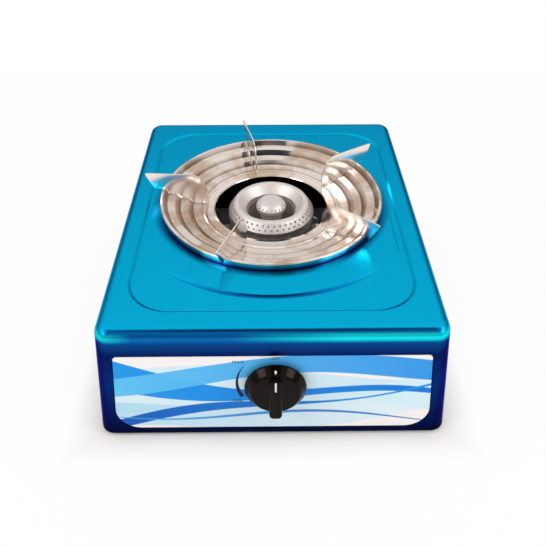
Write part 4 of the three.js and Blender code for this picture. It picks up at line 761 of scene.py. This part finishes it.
slope_low, slope_high = Vector((41, 0, 102)) * mm, Vector((35.5, 0, 110.33)) * mm
cap_foot, cap_top = 97.8 * mm, 111 * mm
cap_outline = rounded([(slope_low.x, cap_foot), (slope_low.x, slope_low.z), (slope_high.x, slope_high.z),
                       (34 * mm, cap_top), (31 * mm, cap_top), (24 * mm, 103 * mm), (23 * mm, cap_foot)],
                      [0.4 * mm, 1.2 * mm, 0.6 * mm, 0.8 * mm, 1.2 * mm, 1.2 * mm, 0.3 * mm], 4)
outer_cap = spun("outer_cap_casting", cap_outline + cap_outline[:1], 176)
port_tilt = atan2(slope_high.z - slope_low.z, slope_low.x - slope_high.x)
ports, port_radius = 44, 1.05 * mm
drilled(outer_cap, [Matrix.Translation(burner) @ Matrix.Rotation(tau * (i + 0.5 * row) / ports, 4, "Z")
                    @ Matrix.Translation(slope_low.lerp(slope_high, share))
                    @ Matrix.Rotation(pi / 2 - port_tilt, 4, "Y")
                    for row, share in enumerate((0.3, 0.7)) for i in range(ports)], port_radius)
# machined cast aluminium: pale silver, broken up by the casting's fine pits
pit_width = 1.11 * mm
cast_aluminium = grained("aluminium, cast and machined", "#DAD3D2", "#FBF6F5", pit_width, relief=0.25,
                         depth=0.2 * mm, Metallic=1.0, Roughness=0.5)
finished(outer_cap, "outer_cap", cast_aluminium, "burner_outer_cap", slot="cast_aluminium")


# The inner cap: a small turned button of the same casting, with one row of ports under its brim. It stands
# in the burner's middle by a short spigot.
button_foot, button_top = 95.7 * mm, 112 * mm
brim_radius, spigot_radius = 14.2 * mm, 7.1 * mm
button_outline = rounded([(0, button_top), (9.4 * mm, button_top), (11.4 * mm, 111 * mm),
                          (brim_radius, 107 * mm), (brim_radius, 103.5 * mm), (12.2 * mm, 101.5 * mm),
                          (spigot_radius, 101.5 * mm), (spigot_radius, button_foot), (0, button_foot)],
                         [0, 0.8 * mm, 1 * mm, 0.8 * mm, 0.4 * mm, 0.4 * mm, 0, 0.3 * mm, 0], 4, closed=False)
button = spun("inner_cap_casting", button_outline, 96)
ports, port_radius, port_tilt = 20, 0.9 * mm, radians(58)
drilled(button, [Matrix.Translation(burner) @ Matrix.Rotation(tau * i / ports, 4, "Z")
                 @ Matrix.Translation((13.6 * mm, 0, 108.2 * mm)) @ Matrix.Rotation(port_tilt, 4, "Y")
                 for i in range(ports)], port_radius)
finished(button, "inner_cap", cast_aluminium, "burner_inner_cap", slot="cast_aluminium")


# The ignition: a boxed piezo unit that the valve's stem trips, a silicone lead under the mixing tube, and a
# steel pin in a ceramic tube beside the burner, held by a bent bracket.
dressed(zinc, "electrode_bracket")
# glazed ceramic: a warm white with a wet, even gloss
glaze = grained("white ceramic, glazed", "#E6E2DA", "#F6F3EC", 3.33 * mm, relief=0.05, Roughness=0.25)
dressed(glaze, "electrode_ceramic")
# drawn steel wire: nearly white, bright along its length
pin_steel = grained("steel wire, bright drawn", "#EFE6DC", "#FFF6EA", 2 * mm, relief=0.05, Roughness=0.25,
                    Metallic=1.0)
dressed(pin_steel, "electrode_pin")
# moulded nylon: a charcoal black with a low sheen
black_moulding = grained("black nylon, moulded", "#151517", "#232326", 1.25 * mm, relief=0.15, Roughness=0.5)
dressed(black_moulding, "piezo_igniter")
# silicone rubber: a brick red, soft and slightly dusty
silicone = grained("red silicone rubber, extruded", "#7A2419", "#96382B", 1.67 * mm, relief=0.2,
                   Roughness=0.55)
dressed(silicone, "ignition_lead")


# The gas inlet: one turned brass fitting. Its threaded shank goes through the back wall, its hexagon bears
# on it from outside, and the hose pushes over three barbs. A brass nut locks it from inside.

# in mm: radii, and heights from the wall's face outwards
thread_radius, root_radius, neck_radius, barb_radius, tube_radius, bore_radius = 7, 6.45, 4.6, 5.6, 4.3, 2.8
thread_turns, barbs, barb_pitch = 11, 3, 4.5
inlet_outline = [(tube_radius, -16), (6.4, -16), (thread_radius, -15.4)]
for k in range(thread_turns):
    inlet_outline += [(thread_radius, -15.3 + k), (root_radius, -14.9 + k), (root_radius, -14.7 + k),
                      (thread_radius, -14.4 + k)]
inlet_outline += [(thread_radius, 1.2), (neck_radius, 1.2), (neck_radius, 10.6)]
for k in range(barbs):
    foot = barb_pitch * k
    inlet_outline += [(barb_radius - 0.15, 10.65 + foot), (barb_radius, 10.9 + foot),
                      (barb_radius, 11.3 + foot), (tube_radius, 14.85 + foot)]
inlet_outline += [(tube_radius, 24), (4, 24.3), (bore_radius + 0.15, 24.3), (bore_radius, 24.1),
                  (bore_radius, -7.7), (tube_radius, -7.7)]
inlet = spun("gas_inlet", [(r * mm, z * mm) for r, z in inlet_outline + inlet_outline[:1]], 64, origin)
across_flats = 20 * mm
hexagon = plate("hexagon", ring(across_flats / sqrt(3), 6, origin), 0.3 * mm, 6.3 * mm)
turned_ends = [(0, 0.2), (10.2, 0.2), (11.6, 1), (11.6, 5.5), (9.9, 6.4), (0, 6.4)]
cut(hexagon, spun("tool", [(r * mm, z * mm) for r, z in turned_ends], 64, origin), "INTERSECT")
cut(hexagon, plate("tool", ring(4 * mm, 48, origin), -1 * mm, 8 * mm))
cut(inlet, hexagon, "UNION")
modify(inlet, "BEVEL", width=0.12 * mm, segments=2, limit_method="ANGLE", angle_limit=radians(40))
placed(inlet, back)
finished(inlet, "housing", turned_brass, "inlet_fitting", slot="brass")
dressed(turned_brass, "inlet_lock_nut")


# The gas pipe: one bent steel tube, zinc plated, that runs from the inlet to the valve's side. A turned
# brass nut clamps it at the valve.
dressed(zinc, "gas_pipe")
dressed(turned_brass, "pipe_nut")


# The drip pan: thin stainless sheet spun into three steps, its rim rolled over and its hole edge turned up,
# all mirror polished. It drops into the housing's seat and lifts out with the blades.
rim_radius, rim_top, pan_sheet = 105 * mm, 119.9 * mm, 0.7 * mm
pan_outline = rounded([(rim_radius - 0.4 * mm, 113.9 * mm), (rim_radius - 0.4 * mm, rim_top),
                       (102.4 * mm, rim_top), (98.5 * mm, 115.3 * mm), (91.5 * mm, 115.0 * mm),
                       (86.5 * mm, 110.0 * mm), (79.5 * mm, 109.7 * mm), (74.5 * mm, 105.7 * mm),
                       (65.8 * mm, 105.25 * mm), (64 * mm, 106.1 * mm), (62.2 * mm, 104.95 * mm),
                       (55.3 * mm, 104.2 * mm), (53.9 * mm, 105.2 * mm)],
                      [0, 1.1 * mm, 1.1 * mm, 2 * mm, 1.6 * mm, 2 * mm, 1.6 * mm, 2 * mm, 0.9 * mm, 0.9 * mm,
                       0.9 * mm, 1 * mm, 0], 6, closed=False)
pan = spun("pan_pressing", pan_outline, 192)
modify(pan, "SOLIDIFY", thickness=pan_sheet, offset=0, use_even_offset=True)
blade_turns = [radians(32 + 72 * k) for k in range(5)]
slot_inner, slot_outer, slot_half = 67.2 * mm, 73.3 * mm, 0.9 * mm
for turn in blade_turns:
    slot = plate("tool", [(slot_inner, -slot_half), (slot_outer, -slot_half), (slot_outer, slot_half),
                          (slot_inner, slot_half)], 100 * mm, 108 * mm)
    cut(pan, placed(slot, Matrix.Translation(burner) @ Matrix.Rotation(turn, 4, "Z")))
# Mirror polished stainless steel: it shows the room as bright and dark rings, a little broken by ripples a
# finger wide and by hazy patches. Thin brown lines in the corners of the steps are polishing soot with
# painted shade, and the flame's heat has tinted the steel straw in patches of a few centimetres.
haze_width, tint_width, ripple_width = 40 * mm, 38.5 * mm, 25 * mm
mirror_steel, tree, shader = new_material("stainless sheet, mirror polished", Metallic=1.0)
place = add(tree, "TexCoord").outputs["Object"]
haze = add(tree, "TexNoise", {"Vector": place, "Scale": 1 / haze_width, "Detail": 4.0})
from_middle = add(tree, "VectorMath", {0: place, 1: tuple(burner)}, operation="SUBTRACT")
from_middle = add(tree, "VectorMath", {0: from_middle, 1: (1, 1, 0)}, operation="MULTIPLY")
radius = add(tree, "VectorMath", {0: from_middle}, operation="LENGTH").outputs["Value"]
# soot and painted shade along the radius in mm, each with its amount, from the hole's edge to the rim
hole_edge, rim_edge = 54, 104
soot_and_shade_rings = [(61, 0), (62, 0.35), (63.2, 0), (65.6, 0), (66.6, 0.5), (68, 0), (73.8, 0), (75.2, 0.85),
              (77.5, 0.15), (85.8, 0), (87.2, 0.85), (89.5, 0.15), (91.5, 0), (97.6, 0), (99, 0.9),
              (101.6, 0.4), (102.5, 0)]
outward = add(tree, "MapRange", {"Value": radius, "From Min": hole_edge * mm, "From Max": rim_edge * mm})
soot_and_shade = add(tree, "ValToRGB", {0: outward},
           [((at - hole_edge) / (rim_edge - hole_edge), (amount, amount, amount, 1))
            for at, amount in soot_and_shade_rings])
broken = add(tree, "MapRange", {"Value": haze, "From Min": 0.3, "From Max": 0.65, "To Min": 0.45})
soot_and_shade_share = add(tree, "Math", {0: soot_and_shade, 1: broken}, operation="MULTIPLY")
patches = add(tree, "TexNoise", {"Vector": place, "Scale": 1 / tint_width, "Detail": 3.0, "Roughness": 0.6})
heated = add(tree, "MapRange", {"Value": patches, "From Min": 0.44, "From Max": 0.62, "To Max": 0.75},
             interpolation_type="SMOOTHSTEP")
steel = add(tree, "Mix", {0: heated, 6: linear("#F2E9E3"), 7: linear("#C4A88C")}, data_type="RGBA")
tone = add(tree, "Mix", {0: soot_and_shade_share, 6: steel.outputs[2], 7: linear("#5C4A3A")}, data_type="RGBA")
tree.links.new(tone.outputs[2], shader.inputs["Base Color"])
rough = add(tree, "MapRange", {"Value": haze, "To Min": 0.05, "To Max": 0.16})
tree.links.new(rough.outputs[0], shader.inputs["Roughness"])
ripple = add(tree, "TexNoise", {"Vector": place, "Scale": 1 / ripple_width, "Detail": 1.0})
bump = add(tree, "Bump", {"Height": ripple, "Strength": 0.15, "Distance": 0.5 * mm})
tree.links.new(bump.outputs[0], shader.inputs["Normal"])
finished(pan, "drip_pan", mirror_steel, "drip_pan", slot="polished_steel")


# Five pot blades: cut from 1.2 mm stainless sheet, polished, notched over the pan's rim and tabbed through
# its floor. Modelled once, then copied round the burner.
def curve(start, bend, end, steps=8):
    """Points after start on the curve to end that bends towards bend"""
    return [tuple((1 - t) ** 2 * s + 2 * t * (1 - t) * b + t * t * e for s, b, e in zip(start, bend, end))
            for t in ((i + 1) / steps for i in range(steps))]


blade_half = 0.6 * mm
# radius and height in mm: the inner foot and its tab, the pan's steps, the notch over the rim, then the
# outer edge, the top where the pot stands, and the inner edge
blade_top, tip, toe = 138, (119, 136.8), (110, 119.05)
blade_outline = [(60, 105.1), (61.9, 105.1), (61.9, 106.6), (66.1, 106.6), (66.1, 105.85), (67.5, 105.85),
                 (67.5, 101.9), (73, 101.9), (73, 105.9), (79.2, 110.3), (86.2, 110.6), (91.2, 115.6),
                 (98.2, 115.9), (101, 120.6), (107.5, 120.6), (107.8, 119.05), toe]
blade_outline += curve(toe, (116.6, 130), tip) + curve(tip, (119, blade_top), (116.6, blade_top), 4)
blade_outline += [(77, blade_top)] + curve((77, blade_top), (62.5, blade_top), (60, 117.9), 12)
blade = plate("blade", [(r * mm, z * mm) for r, z in blade_outline], -blade_half, blade_half)
modify(blade, "BEVEL", width=0.2 * mm, segments=2, limit_method="ANGLE", angle_limit=radians(40))
# buffed stainless steel: as light as the pan but a little duller, in soft cloudy patches
buff_width = 16.7 * mm
satin_steel, tree, shader = new_material("stainless sheet, buffed", Base_Color=linear("#F2E9E3"),
                                         Metallic=1.0)
place = add(tree, "TexCoord").outputs["Object"]
haze = add(tree, "TexNoise", {"Vector": place, "Scale": 1 / buff_width, "Detail": 4.0})
rough = add(tree, "MapRange", {"Value": haze, "To Min": 0.14, "To Max": 0.3})
tree.links.new(rough.outputs[0], shader.inputs["Roughness"])
for k, turn in enumerate(blade_turns):
    only(blade)
    bpy.ops.object.duplicate(linked=False)
    copy = bpy.context.object
    copy.name = f"blade_plate_{k + 1}"
    copy.matrix_world = (Matrix.Translation(burner) @ Matrix.Rotation(turn, 4, "Z")
                         @ Matrix.Rotation(pi / 2, 4, "X"))
    finished(copy, "drip_pan", satin_steel, f"pot_blade_{k + 1}", slot="polished_steel")
bpy.data.objects.remove(blade)
